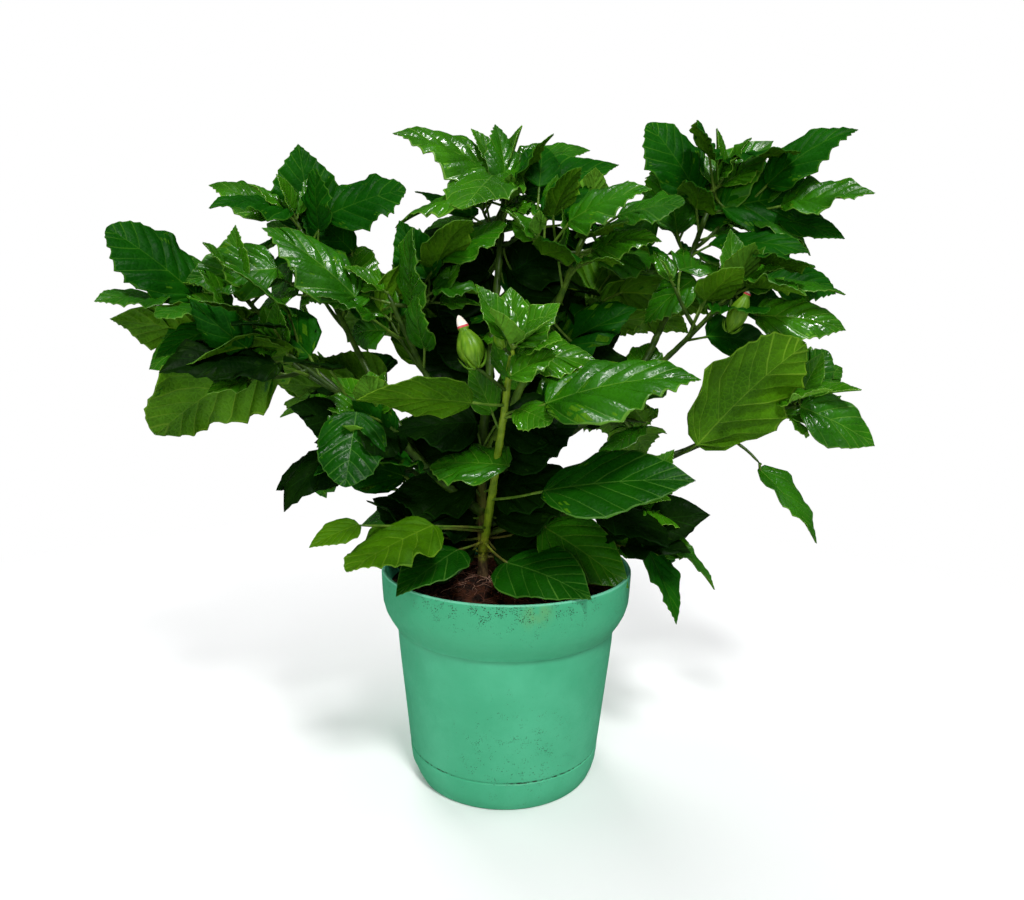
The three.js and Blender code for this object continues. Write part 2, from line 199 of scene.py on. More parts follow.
# --- Pot -------------------------------------------------------------------------------------
# A matte teal nursery pot, injection moulded in one piece with a wide collar, a groove above
# its foot and six drain holes. Soil has left specks on the collar and in the groove.
POT_SIDES = 112
POT_OUTSIDE = [
    (64, 0), (70, 0), (71.6, 0.7), (72.6, 2.4), (74.6, 7), (76.2, 12.5), (77.1, 20), (77.3, 23.6),
    (76.7, 24.2), (76.7, 25.4), (77.5, 26), (78.2, 32), (81.8, 66), (85.4, 99), (86.6, 112),
    (87.3, 122.4), (87.6, 123.8), (89.2, 125), (91, 128), (93.9, 132.6), (96.6, 138),
    (98.6, 145), (99.3, 154), (99.8, 166), (99.8, 168.6), (99.2, 169.8),
]
POT_LIP = [(98.2, 170), (97.2, 169.6), (96.7, 168)]
FLOOR_THICKNESS = 2.6
POT_INSIDE = [
    (96.4, 158), (96, 147), (94, 137), (91, 130), (86, 122), (83, 99), (75.4, 26), (72, 8),
    (68, FLOOR_THICKNESS),
]
DRAIN_HOLES = 6
DRAIN_HOLE_RADIUS = 5
DRAIN_CIRCLE_RADIUS = 48
DRAIN_HOLE_SIDES = 24
DRILL_LENGTH = 0.02


def draw_ring(start, end):
    """Extrudes the selected ring from a (radius, height) to another, in millimetres."""
    lift = (0, 0, (end[1] - start[1]) * MM)
    bpy.ops.mesh.extrude_region_move(TRANSFORM_OT_translate={"value": lift})
    grow = end[0] / start[0]
    bpy.ops.transform.resize(value=(grow, grow, 1), center_override=(0, 0, 0))


def select_by_place(piece, test):
    """In edit mode, selects just the vertices whose place passes the test."""
    bpy.ops.object.mode_set(mode="OBJECT")
    for vertex in piece.data.vertices:
        vertex.select = test(vertex.co)
    for edge in piece.data.edges:
        edge.select = all(piece.data.vertices[v].select for v in edge.vertices)
    for face in piece.data.polygons:
        face.select = all(piece.data.vertices[v].select for v in face.vertices)
    bpy.ops.object.mode_set(mode="EDIT")


profile = POT_OUTSIDE + POT_LIP + POT_INSIDE
bpy.ops.object.select_all(action="DESELECT")
bpy.ops.mesh.primitive_circle_add(
    vertices=POT_SIDES, radius=profile[0][0] * MM, location=(0, 0, profile[0][1] * MM))
pot = bpy.context.active_object
pot.name = "nursery_pot"
bpy.ops.object.transform_apply(location=True)
bpy.ops.object.mode_set(mode="EDIT")
bpy.ops.mesh.select_all(action="SELECT")
for start, end in zip(profile, profile[1:]):
    draw_ring(start, end)
bpy.ops.mesh.edge_face_add()
select_by_place(pot, lambda place: place.z < 0.0001)
bpy.ops.mesh.edge_face_add()
bpy.ops.mesh.select_all(action="SELECT")
bpy.ops.mesh.normals_make_consistent(inside=False)
bpy.ops.object.mode_set(mode="OBJECT")

# Two wide moulded notches lift the foot's edge off the ground, one across from the other.
NOTCHES = (-158, 22)
NOTCH_HALF_WIDTH = 17
NOTCH_HEIGHT = 10.5
NOTCH_INNER_RADIUS = 66
FOOT_TOP = 0.02


def notch_height(place):
    """How far the foot is raised above the ground there, in millimetres."""
    turn = math.degrees(math.atan2(place.y, place.x))
    away = min(abs((turn - notch + 180) % 360 - 180) for notch in NOTCHES) / NOTCH_HALF_WIDTH
    if away > 1 or place.xy.length < NOTCH_INNER_RADIUS * MM:
        return 0
    return NOTCH_HEIGHT * (0.5 + 0.5 * math.cos(math.pi * away)) ** 0.7


inner_start = len(POT_OUTSIDE) + len(POT_LIP)
for number, vertex in enumerate(pot.data.vertices):
    inside = number >= inner_start * POT_SIDES
    lifted = notch_height(vertex.co)
    if lifted > 0 and vertex.co.z < FOOT_TOP:
        vertex.co.z = max(vertex.co.z, (lifted + (FLOOR_THICKNESS if inside else 0)) * MM)

for i in range(DRAIN_HOLES):
    turn = 2 * math.pi * i / DRAIN_HOLES
    hole_x = DRAIN_CIRCLE_RADIUS * MM * math.cos(turn)
    hole_y = DRAIN_CIRCLE_RADIUS * MM * math.sin(turn)
    bpy.ops.mesh.primitive_cylinder_add(
        vertices=DRAIN_HOLE_SIDES, radius=DRAIN_HOLE_RADIUS * MM, depth=DRILL_LENGTH,
        location=(hole_x, hole_y, 0))
    drill = bpy.context.active_object
    bore = pot.modifiers.new("bore", "BOOLEAN")
    bore.operation = "DIFFERENCE"
    bore.object = drill
    bpy.context.view_layer.objects.active = pot
    bpy.ops.object.modifier_apply(modifier="bore")
    bpy.data.objects.remove(drill)
bpy.ops.object.select_all(action="DESELECT")
pot.select_set(True)
bpy.ops.object.shade_smooth_by_angle(angle=math.radians(32))


def plus(tree, a, b):
    """One value added to another."""
    node = add_node(tree, "ShaderNodeMath", operation="ADD")
    tree.links.new(a, node.inputs[0])
    tree.links.new(b, node.inputs[1])
    return node.outputs["Value"]


def noise(tree, place, scale, detail=3.0, rough=0.55):
    """Noise over a place, about 0.5."""
    node = add_node(tree, "ShaderNodeTexNoise", inputs={
        "Scale": scale, "Detail": detail, "Roughness": rough})
    tree.links.new(place, node.inputs["Vector"])
    return node.outputs["Fac"]


def blend_colour(tree, mask, under, over):
    """under where the mask is 0 and over where it is 1; each is a colour or an output."""
    node = add_node(tree, "ShaderNodeMix", data_type="RGBA")
    tree.links.new(mask, node.inputs["Factor"])
    for name, colour in (("A", under), ("B", over)):
        socket = [s for s in node.inputs if s.name == name and s.type == "RGBA"][0]
        if isinstance(colour, tuple):
            socket.default_value = (*colour, 1)
        else:
            tree.links.new(colour, socket)
    return [s for s in node.outputs if s.type == "RGBA"][0]


def relief(tree, shader, height, distance):
    """Feeds a height to the shader's normal; distance is in metres."""
    node = add_node(tree, "ShaderNodeBump", inputs={"Strength": 1.0, "Distance": distance})
    tree.links.new(height, node.inputs["Height"])
    tree.links.new(node.outputs["Normal"], shader.inputs["Normal"])


def start_group(name, inputs, outputs):
    """An empty node group. Inputs are (kind, name, value) and outputs (kind, name)."""
    group = bpy.data.node_groups.new(name, "ShaderNodeTree")
    for kind, title, value in inputs:
        socket = group.interface.new_socket(title, in_out="INPUT", socket_type="NodeSocket" + kind)
        if value is not None:
            socket.default_value = (*value, 1) if kind == "Color" else value
    for kind, title in outputs:
        group.interface.new_socket(title, in_out="OUTPUT", socket_type="NodeSocket" + kind)
    given = group.nodes.new("NodeGroupInput").outputs
    wanted = group.nodes.new("NodeGroupOutput").inputs
    return group, given, wanted


def place_group(tree, group, place, **values):
    """A group's node in a material, reading a place, with that material's own values."""
    node = tree.nodes.new("ShaderNodeGroup")
    node.node_tree = group
    tree.links.new(place, node.inputs["Place"])
    for key, value in values.items():
        socket = node.inputs[key.replace("_", " ")]
        socket.default_value = (*value, 1) if isinstance(value, tuple) else value
    return node.outputs


# Two colours that run into each other in soft patches.
two_tone, given, wanted = start_group(
    "two_tone",
    [("Vector", "Place", None), ("Float", "Scale", 20), ("Float", "Stretch", 1),
     ("Float", "Low", 0.35), ("Float", "High", 0.7), ("Color", "Under", (0, 0, 0)),
     ("Color", "Over", (1, 1, 1))],
    [("Color", "Colour"), ("Float", "Mask"), ("Float", "Noise")])
squeeze = add_node(two_tone, "ShaderNodeCombineXYZ", inputs={"X": 1, "Y": 1})
two_tone.links.new(given["Stretch"], squeeze.inputs["Z"])
squeezed = add_node(two_tone, "ShaderNodeVectorMath", operation="MULTIPLY")
two_tone.links.new(given["Place"], squeezed.inputs[0])
two_tone.links.new(squeeze.outputs["Vector"], squeezed.inputs[1])
cloud = noise(two_tone, squeezed.outputs["Vector"], 1, 4, 0.6)
two_tone.links.new(given["Scale"], cloud.node.inputs["Scale"])
mask = clamp_range(two_tone, cloud, 0, 1)
two_tone.links.new(given["Low"], mask.node.inputs["From Min"])
two_tone.links.new(given["High"], mask.node.inputs["From Max"])
two_tone.links.new(blend_colour(two_tone, mask, given["Under"], given["Over"]), wanted["Colour"])
two_tone.links.new(mask, wanted["Mask"])
two_tone.links.new(cloud, wanted["Noise"])

# Small round dots of uneven size that gather in patches.
specks, given, wanted = start_group(
    "specks",
    [("Vector", "Place", None), ("Float", "Scale", 300), ("Float", "Size", 0.3),
     ("Float", "Patch Scale", 45), ("Float", "Patch Edge", 0.5)],
    [("Float", "Mask")])
dots = add_node(specks, "ShaderNodeTexVoronoi", feature="F1")
specks.links.new(given["Place"], dots.inputs["Vector"])
specks.links.new(given["Scale"], dots.inputs["Scale"])
dot = clamp_range(specks, dots.outputs["Distance"], 1, 0.1)
specks.links.new(given["Size"], dot.node.inputs["From Min"])
patches = noise(specks, given["Place"], 1, 4, 0.7)
specks.links.new(given["Patch Scale"], patches.node.inputs["Scale"])
patch = clamp_range(specks, patches, 0.5, 0.7)
specks.links.new(given["Patch Edge"], patch.node.inputs["From Min"])
specks.links.new(times(specks, dot, patch), wanted["Mask"])

POT_TEAL = (0.046, 0.365, 0.186)
POT_TEAL_WORN = (0.066, 0.425, 0.228)
# A darker teal that the collar is coloured with.
POT_COLLAR_DARKER = (0.036, 0.325, 0.152)
# The colour of soil specks, and also of the painted shade under the collar's step.
POT_DIRT_AND_SHADE = (0.016, 0.024, 0.008)
POT_STAIN = (0.17, 0.3, 0.05)
# A painted highlight along the top of the lip.
POT_LIP_PAINTED_HIGHLIGHT = (0.2, 0.62, 0.42)
SPLASH_PLACE = (0.006, -0.1, 0.166)
FALLEN_PLACE = (0.01, -0.08, 0.05)
STAIN_PLACE = (0.022, -0.097, 0.163)


def near_place(tree, place, centre, near, far):
    """A mask that is 1 within near of a centre and 0 beyond far."""
    gap = add_node(tree, "ShaderNodeVectorMath", operation="DISTANCE")
    tree.links.new(place, gap.inputs[0])
    gap.inputs[1].default_value = centre
    return clamp_range(tree, gap.outputs["Value"], far, near)


def height_of(tree, place):
    """How high above the ground a place is, in metres."""
    parts = add_node(tree, "ShaderNodeSeparateXYZ")
    tree.links.new(place, parts.inputs["Vector"])
    return parts.outputs["Z"]


def pot_plastic():
    """Matte teal plastic with faint mottling, specks of soil and a stain on the collar."""
    made, tree, shader, place = start_material("teal_plastic", 0.5, Specular_IOR_Level=0.4)
    z = height_of(tree, place)
    cloud = place_group(tree, two_tone, place, Scale=14.0, Under=POT_TEAL, Over=POT_TEAL_WORN)
    colour = cloud["Colour"]
    # Specks of soil are thickest on the front of the collar, where water splashed.
    on_collar = clamp_range(tree, z, 0.12, 0.162, 0.4, 1.0)
    splash = times(tree, near_place(tree, place, SPLASH_PLACE, 0.03, 0.085),
                   clamp_range(tree, z, 0.152, 0.168))
    fallen = near_place(tree, place, FALLEN_PLACE, 0.01, 0.075)
    often = plus(tree, plus(tree, times(tree, splash, 1.6), times(tree, fallen, 0.5)),
                 times(tree, on_collar, 0.5))
    fine = place_group(tree, specks, place, Scale=980.0, Size=0.45, Patch_Scale=130.0,
                       Patch_Edge=0.4)["Mask"]
    coarse = place_group(tree, specks, place, Scale=360.0, Size=0.2, Patch_Scale=70.0,
                         Patch_Edge=0.48)["Mask"]
    dots = clamp_range(tree, times(tree, plus(tree, fine, coarse), often), 0.12, 0.4)
    # Soil lies in broken stretches of the groove above the foot.
    in_groove = times(tree, clamp_range(tree, z, 0.0238, 0.0245), clamp_range(tree, z, 0.0259, 0.0253))
    broken = times(tree, clamp_range(tree, noise(tree, place, 24, 3, 0.6), 0.42, 0.6, 0.2, 1.0),
                   clamp_range(tree, noise(tree, place, 380, 2, 0.6), 0.42, 0.55, 0.15, 0.85))
    # Painted shade darkens a soft band under the collar's step, and a line of soil lies under the lip.
    painted_shade_under_step = times(tree, clamp_range(tree, z, 0.119, 0.1232), clamp_range(tree, z, 0.1262, 0.124))
    under_lip = times(tree, clamp_range(tree, z, 0.1645, 0.1675), times(tree, splash, fine))
    # Soil specks and the soil in the groove, together with the painted shade under the collar's step.
    dirt_and_painted_shade = plus(tree, plus(tree, dots, times(tree, in_groove, broken)),
                plus(tree, times(tree, under_lip, 0.45), times(tree, painted_shade_under_step, 0.22)))
    smudge = times(tree, near_place(tree, place, STAIN_PLACE, 0.002, 0.016),
                   clamp_range(tree, noise(tree, place, 70, 3, 0.6), 0.3, 0.55))
    # The collar is coloured a little darker than the body, and a painted highlight runs along the lip.
    colour = blend_colour(tree, clamp_range(tree, z, 0.121, 0.13, 0, 0.6), colour, POT_COLLAR_DARKER)
    colour = blend_colour(tree, times(tree, smudge, 0.4), colour, POT_STAIN)
    colour = blend_colour(tree, clamp_range(tree, dirt_and_painted_shade, 0, 1), colour, POT_DIRT_AND_SHADE)
    colour = blend_colour(tree, clamp_range(tree, z, 0.1684, 0.1694, 0, 0.6), colour, POT_LIP_PAINTED_HIGHLIGHT)
    tree.links.new(colour, shader.inputs["Base Color"])
    wear = clamp_range(tree, noise(tree, place, 90, 3), 0.3, 0.7, 0.42, 0.62)
    tree.links.new(wear, shader.inputs["Roughness"])
    bumps = plus(tree, times(tree, noise(tree, place, 420, 2), 0.5), times(tree, dots, 0.6))
    relief(tree, shader, plus(tree, bumps, times(tree, noise(tree, place, 26, 2), 1.6)), 0.0003)
    return made


pot.data.materials.append(pot_plastic())
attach(pot, "root")
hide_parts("pot")


# --- Soil ------------------------------------------------------------------------------------
# Dark peat with coir in it, level round the stem and a little lower at the wall. Loose crumbs,
# red-brown coir fibres and pale rootlets lie on it. It fills the pot to below its lip.
SOIL_TOP = 157
SOIL_FLAT_RADIUS = 42
SOIL_EDGE_DROP = 5
SOIL_RADIUS = 95.6
SOIL_RING_STEP = 2.4
SOIL_INNERMOST_RING = 3
SOIL_SIDE = [
    (SOIL_RADIUS, SOIL_TOP), (93, 136.5), (90, 130.5), (84.6, 122), (81.5, 98), (71, 6), (66, 3.2),
]
SOIL_SEED = 41
CRUMBS = 420
COIR_FIBRES = 240
ROOTLETS = 54
STRAND_STEPS = 9


def soil_height(x, y):
    """Millimetres above the pot's underside, uneven by a few."""
    radius = np.hypot(x, y)
    fall = np.clip((radius - SOIL_FLAT_RADIUS) / (SOIL_RADIUS - SOIL_FLAT_RADIUS), 0, 1)
    swell = 1.1 * np.sin(x / 9.0 + 1.3) * np.cos(y / 7.5) + 0.7 * np.sin(x / 3.7 - y / 5.1)
    swell = swell + 0.45 * np.sin(x / 1.9 + y / 2.3) * np.cos(y / 1.7 - x / 3.1)
    mound = 3.2 * np.exp(-((x + 19) ** 2 + y ** 2) / 260.0)
    return SOIL_TOP - 1.2 - SOIL_EDGE_DROP * fall + swell + mound


def mesh_piece(name, vertices, faces, materials, face_materials=None):
    """A piece from vertices in millimetres and faces, smooth all over."""
    mesh = bpy.data.meshes.new(name)
    mesh.from_pydata((np.asarray(vertices) * MM).tolist(), [], faces)
    for made in materials:
        mesh.materials.append(made)
    if face_materials is not None:
        mesh.polygons.foreach_set("material_index", np.asarray(face_materials, dtype=np.int32))
    mesh.polygons.foreach_set("use_smooth", np.ones(len(mesh.polygons), dtype=bool))
    mesh.update()
    piece = bpy.data.objects.new(name, mesh)
    bpy.context.scene.collection.objects.link(piece)
    return piece


class Heap:
    """Small meshes gathered into one."""

    def __init__(self):
        self.vertices = []
        self.faces = []
        self.kinds = []
        self.count = 0

    def add(self, vertices, faces, kinds=0):
        self.vertices.append(vertices)
        self.faces.extend([tuple(v + self.count for v in face) for face in faces])
        self.kinds.extend([kinds] * len(faces) if isinstance(kinds, int) else kinds)
        self.count += len(vertices)

    def piece(self, name, materials):
        return mesh_piece(name, np.concatenate(self.vertices), self.faces, materials, self.kinds)


def tube(points, radii, sides):
    """Vertices and faces of a closed tube along points, each with its own radius."""
    points = np.asarray(points, dtype=float)
    tangents = np.gradient(points, axis=0)
    tangents /= np.linalg.norm(tangents, axis=1)[:, None]
    normal = np.cross(tangents[0], (0.3, 0.2, 0.93))
    if np.linalg.norm(normal) < 0.1:
        normal = np.cross(tangents[0], (1.0, 0.0, 0.0))
    rings = []
    turns = 2 * math.pi * np.arange(sides) / sides
    for point, tangent, radius in zip(points, tangents, np.broadcast_to(radii, len(points))):
        normal = normal - tangent * normal.dot(tangent)
        normal /= np.linalg.norm(normal)
        across = np.cross(tangent, normal)
        rings.append(point + radius * (np.cos(turns)[:, None] * normal + np.sin(turns)[:, None] * across))
    faces = []
    for i in range(len(points) - 1):
        low = i * sides
        faces += [(low + j, low + (j + 1) % sides, low + sides + (j + 1) % sides, low + sides + j)
                  for j in range(sides)]
    faces.append(tuple(range(sides - 1, -1, -1)))
    faces.append(tuple(range((len(points) - 1) * sides, len(points) * sides)))
    return np.concatenate(rings), faces


def peat():
    """Damp black-brown peat, with redder crumbs and a few pale grains."""
    made, tree, shader, place = start_material("peat", 0.92, Specular_IOR_Level=0.2)
    warm = place_group(tree, two_tone, place, Scale=130.0, Low=0.42, High=0.62,
                       Under=(0.009, 0.004, 0.002), Over=(0.062, 0.02, 0.008))
    grit = place_group(tree, specks, place, Scale=420.0, Size=0.3, Patch_Scale=90.0,
                       Patch_Edge=0.56)["Mask"]
    colour = blend_colour(tree, times(tree, grit, 0.5), warm["Colour"], (0.14, 0.09, 0.05))
    tree.links.new(colour, shader.inputs["Base Color"])
    relief(tree, shader, noise(tree, place, 300, 4, 0.7), 0.0012)
    return made


def fibre(name, colour, other):
    """A dry fibre or root whose colour changes along it."""
    made, tree, shader, place = start_material(name, 0.8)
    change = place_group(tree, two_tone, place, Scale=90.0, Low=0.35, High=0.65, Under=colour, Over=other)
    tree.links.new(change["Colour"], shader.inputs["Base Color"])
    relief(tree, shader, noise(tree, place, 900, 2), 0.0002)
    return made


soil_random = np.random.default_rng(SOIL_SEED)
bpy.ops.object.select_all(action="DESELECT")
bpy.ops.mesh.primitive_circle_add(
    vertices=96, radius=SOIL_RADIUS * MM, fill_type="NOTHING", location=(0, 0, SOIL_TOP * MM))
soil = bpy.context.active_object
soil.name = "soil_top"
bpy.ops.object.transform_apply(location=True)
bpy.ops.object.mode_set(mode="EDIT")
bpy.ops.mesh.select_all(action="SELECT")
radius = SOIL_RADIUS
while radius > SOIL_INNERMOST_RING:
    draw_ring((radius, SOIL_TOP), (radius - SOIL_RING_STEP, SOIL_TOP))
    radius -= SOIL_RING_STEP
bpy.ops.mesh.edge_face_add()
select_by_place(soil, lambda place: place.xy.length > (SOIL_RADIUS - 0.2) * MM)
for start, end in zip(SOIL_SIDE, SOIL_SIDE[1:]):
    draw_ring(start, end)
bpy.ops.mesh.edge_face_add()
bpy.ops.mesh.select_all(action="SELECT")
bpy.ops.mesh.normals_make_consistent(inside=False)
bpy.ops.object.mode_set(mode="OBJECT")
for vertex in soil.data.vertices:
    if vertex.co.z > (SOIL_TOP - 7) * MM:
        vertex.co.z = soil_height(vertex.co.x / MM, vertex.co.y / MM) * MM
    elif notch_height(vertex.co) > 0 and vertex.co.z < FOOT_TOP:
        vertex.co.z = max(vertex.co.z, (notch_height(vertex.co) + FLOOR_THICKNESS + 1) * MM)
bpy.ops.object.select_all(action="DESELECT")
soil.select_set(True)
bpy.ops.object.shade_smooth_by_angle(angle=math.radians(50))
soil.data.materials.append(peat())
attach(soil, "root")
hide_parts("soil")


def soil_spot(spread):
    """A random point on the soil within a radius."""
    reach = spread * math.sqrt(soil_random.random())
    turn = 2 * math.pi * soil_random.random()
    x = reach * math.cos(turn)
    y = reach * math.sin(turn)
    return np.array([x, y, soil_height(x, y)])


CRUMB_CORNERS = np.array([
    (0, 0, 1), (0.9, 0, 0.4), (0.3, 0.85, 0.4), (-0.75, 0.5, 0.4), (-0.7, -0.6, 0.35),
    (0.35, -0.8, 0.45), (0.8, 0.5, -0.4), (-0.2, 0.95, -0.35), (-0.9, 0, -0.4),
    (-0.3, -0.9, -0.4), (0.75, -0.55, -0.4), (0, 0, -0.9)])
CRUMB_FACES = [
    (0, 1, 2), (0, 2, 3), (0, 3, 4), (0, 4, 5), (0, 5, 1), (1, 6, 2), (2, 6, 7), (2, 7, 3), (3, 7, 8),
    (3, 8, 4), (4, 8, 9), (4, 9, 5), (5, 9, 10), (5, 10, 1), (1, 10, 6), (11, 7, 6), (11, 8, 7),
    (11, 9, 8), (11, 10, 9), (11, 6, 10)]
crumbs = Heap()
for i in range(CRUMBS):
    size = 0.7 + 2.3 * soil_random.random() ** 2.5
    stretch = size * (0.6 + 0.8 * soil_random.random(3))
    corners = CRUMB_CORNERS * stretch + 0.25 * size * (soil_random.random((12, 3)) - 0.5)
    crumbs.add(soil_spot(SOIL_RADIUS - 4) + corners + (0, 0, 0.2 * size), CRUMB_FACES)
crumb_piece = crumbs.piece("soil_crumbs", [peat()])
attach(crumb_piece, "root")


def strand(start, length, lift, bends, radius):
    """A thin strand that wanders over the soil from a start, lifted a little."""
    heading = 2 * math.pi * soil_random.random()
    place = start.copy()
    points = []
    for i in range(STRAND_STEPS):
        arch = lift * math.sin(math.pi * i / (STRAND_STEPS - 1))
        points.append((place[0], place[1], soil_height(place[0], place[1]) + arch + radius))
        heading += bends * (soil_random.random() - 0.5)
        step = length / STRAND_STEPS
        ahead = place[:2] + step * np.array([math.cos(heading), math.sin(heading)])
        if np.hypot(*ahead) > SOIL_RADIUS - 3:
            heading += math.pi / 2
            ahead = place[:2] + step * np.array([math.cos(heading), math.sin(heading)]) * 0.5
        place[:2] = ahead
    taper = radius * (1 - 0.6 * np.linspace(0, 1, STRAND_STEPS))
    return tube(points, taper, 4)


litter = Heap()
for i in range(COIR_FIBRES):
    reach = 14 + 26 * soil_random.random()
    litter.add(*strand(soil_spot(SOIL_RADIUS - 12), reach, 3.2 * soil_random.random(), 0.8, 0.22), 0)
for i in range(ROOTLETS):
    from_stem = np.array([-19.0, 0, 0]) + soil_random.normal(0, 14, 3) * (1.5, 1.2, 0) - (0, 12, 0)
    litter.add(*strand(from_stem, 10 + 18 * soil_random.random(), 3 * soil_random.random(), 1.7, 0.25), 1)
litter_piece = litter.piece("coir_and_rootlets", [
    fibre("coir", (0.13, 0.036, 0.014), (0.045, 0.014, 0.007)),
    fibre("rootlet", (0.5, 0.3, 0.2), (0.16, 0.06, 0.035))])
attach(litter_piece, "root")


# --- Trunk and limbs -------------------------------------------------------------------------
# A short brown trunk, corky at its foot, which forks into tapering boughs and green shoots. Each
# limb grows out of the one that bears it, with a collar at its root and a swelling at each leaf.
FOOT = np.array([-19.0, 0.0, 157.3])
FORK = np.array([-23.0, 12.0, 252.0])
TRUNK_LEAN = np.array([2.0, -5.0, 0.0])
TRUNK_STUB = 10.0
# Name: the limb that bears it and the share of it where it leaves, then its tip's heading and
# reach from the foot and height above the soil, its radii at root and tip, and its sag.
LIMBS = {
    "front_shoot": ("trunk", 0.3, -74, 78, 186, 4.2, 2.8, 0.05),
    "left_bough": ("trunk", 0.6, 201, 83, 134, 4.6, 3.6, 0.1),
    "left_low_shoot": ("left_bough", 0.96, 198, 150, 182, 3, 2, 0.06),
    "left_outer_shoot": ("left_bough", 0.82, 186, 182, 222, 3, 2, 0.08),
    "left_top_shoot": ("left_bough", 0.55, 169, 156, 284, 3.2, 2.2, 0.1),
    "inner_left_shoot": ("trunk", 0.94, 178, 76, 226, 3.6, 2.2, 0.1),
    "centre_bough": ("trunk", 0.97, 79, 66, 322, 5.2, 2.8, 0.12),
    "centre_shoot": ("trunk", 0.97, 14, 82, 284, 4.4, 2.6, 0.12),
    "right_bough": ("trunk", 0.86, 15, 130, 160, 5, 4, 0.1),
    "right_top_shoot": ("right_bough", 0.96, 16, 194, 318, 3.6, 2.4, 0.1),
    "right_mid_shoot": ("right_bough", 0.8, 0, 190, 232, 3.2, 2.2, 0.08),
    "right_low_bough": ("trunk", 0.5, 4, 254, 150, 4.2, 2.4, 0.05),
    "right_drooping_stalk": ("right_low_bough", 0.74, -1, 218, 98, 1.6, 1.3, -0.2),
    "low_right_shoot": ("trunk", 0.42, -3, 122, 66, 2.8, 2, -0.05),
    "low_left_shoot": ("trunk", 0.5, 138, 108, 88, 3, 2, 0.05),
    "back_left_bough": ("trunk", 0.88, 124, 150, 240, 4.4, 2.4, 0.12),
    "back_right_bough": ("trunk", 0.92, 52, 168, 240, 4.6, 2.4, 0.12),
    "back_low_shoot": ("trunk", 0.66, 90, 136, 122, 3.4, 2.2, 0.08),
    "back_left_low_shoot": ("back_left_bough", 0.42, 146, 172, 142, 2.8, 2, 0.08),
    "back_right_low_shoot": ("back_right_bough", 0.42, 36, 196, 126, 2.8, 2, 0.08),
}
LIMB_SIDES = 14
NODE_SPACING = 21.0
BARK_SEED = 7
SLENDER = 0.8
TRUNK_STEPS = 64
TRUNK_SIDES = 28
TRUNK_RADIUS = 4.0
TRUNK_TAPER = 0.2
TRUNK_FLARE = 0.8
CRUST_PLACE = (-0.0205, -0.008, 0.183)
CRUST_COLOUR = (0.25, 0.3, 0.02)
WOODY_COLOUR = (0.11, 0.085, 0.02)


class Curve:
    """A quadratic curve through space, read by its share of length."""

    def __init__(self, start, middle, end):
        t = np.linspace(0, 1, 201)[:, None]
        self.places = (1 - t) ** 2 * start + 2 * (1 - t) * t * middle + t ** 2 * end
        steps = np.linalg.norm(np.diff(self.places, axis=0), axis=1)
        self.lengths = np.concatenate([[0], np.cumsum(steps)])
        self.length = self.lengths[-1]

    def at(self, share):
        along = share * self.length
        return np.array([np.interp(along, self.lengths, self.places[:, i]) for i in range(3)])

    def along(self, share):
        ahead = self.at(min(share + 0.02, 1)) - self.at(max(share - 0.02, 0))
        return ahead / np.linalg.norm(ahead)


def direction(heading, rise):
    """The unit vector at a heading from +X towards +Y and a rise, in degrees."""
    turn = math.radians(heading)
    climb = math.radians(rise)
    return np.array([math.cos(climb) * math.cos(turn), math.cos(climb) * math.sin(turn), math.sin(climb)])


limb_curves = {"trunk": Curve(FOOT - (0, 0, TRUNK_STUB), (FOOT + FORK) / 2 + TRUNK_LEAN, FORK)}
for name, (bearer, share, heading, reach, height, *_, sag) in LIMBS.items():
    root = limb_curves[bearer].at(share)
    tip = FOOT + reach * direction(heading, 0)
    tip[2] = SOIL_TOP + height
    middle = (root + tip) / 2
    middle[2] -= sag * np.linalg.norm(tip - root)
    limb_curves[name] = Curve(root, middle, tip)


def crust_mask(tree, place):
    """A crust of yellow-green root tips, where the front shoot leaves the trunk."""
    grain = clamp_range(tree, noise(tree, place, 420, 2), 0.38, 0.56, 0.25, 1.0)
    return times(tree, near_place(tree, place, CRUST_PLACE, 0.008, 0.015), grain)


def bark():
    """Brown and corky near the soil, greener and smoother further up, with pale lenticels."""
    made, tree, shader, place = start_material("woody_bark", 0.75, Specular_IOR_Level=0.3)
    cork = place_group(tree, two_tone, place, Scale=420.0, Stretch=0.35, Low=0.38, High=0.66,
                       Under=(0.03, 0.018, 0.006), Over=(0.11, 0.07, 0.028))
    patch = noise(tree, place, 70, 3, 0.6)
    green = plus(tree, clamp_range(tree, height_of(tree, place), 0.178, 0.232),
                 clamp_range(tree, patch, 0.3, 0.7, -0.35, 0.35))
    skin = place_group(tree, two_tone, place, Scale=150.0, Stretch=0.3,
                       Under=(0.045, 0.06, 0.006), Over=(0.1, 0.11, 0.016))
    colour = blend_colour(tree, clamp_range(tree, green, 0.25, 0.75), cork["Colour"], skin["Colour"])
    colour = blend_colour(tree, crust_mask(tree, place), colour, CRUST_COLOUR)
    lenticel = place_group(tree, specks, place, Scale=380.0, Size=0.24, Patch_Scale=60.0,
                           Patch_Edge=0.35)["Mask"]
    colour = blend_colour(tree, times(tree, lenticel, 0.6), colour, (0.2, 0.16, 0.07))
    tree.links.new(colour, shader.inputs["Base Color"])
    relief(tree, shader, plus(tree, cork["Noise"], times(tree, lenticel, 0.5)), 0.0009)
    return made


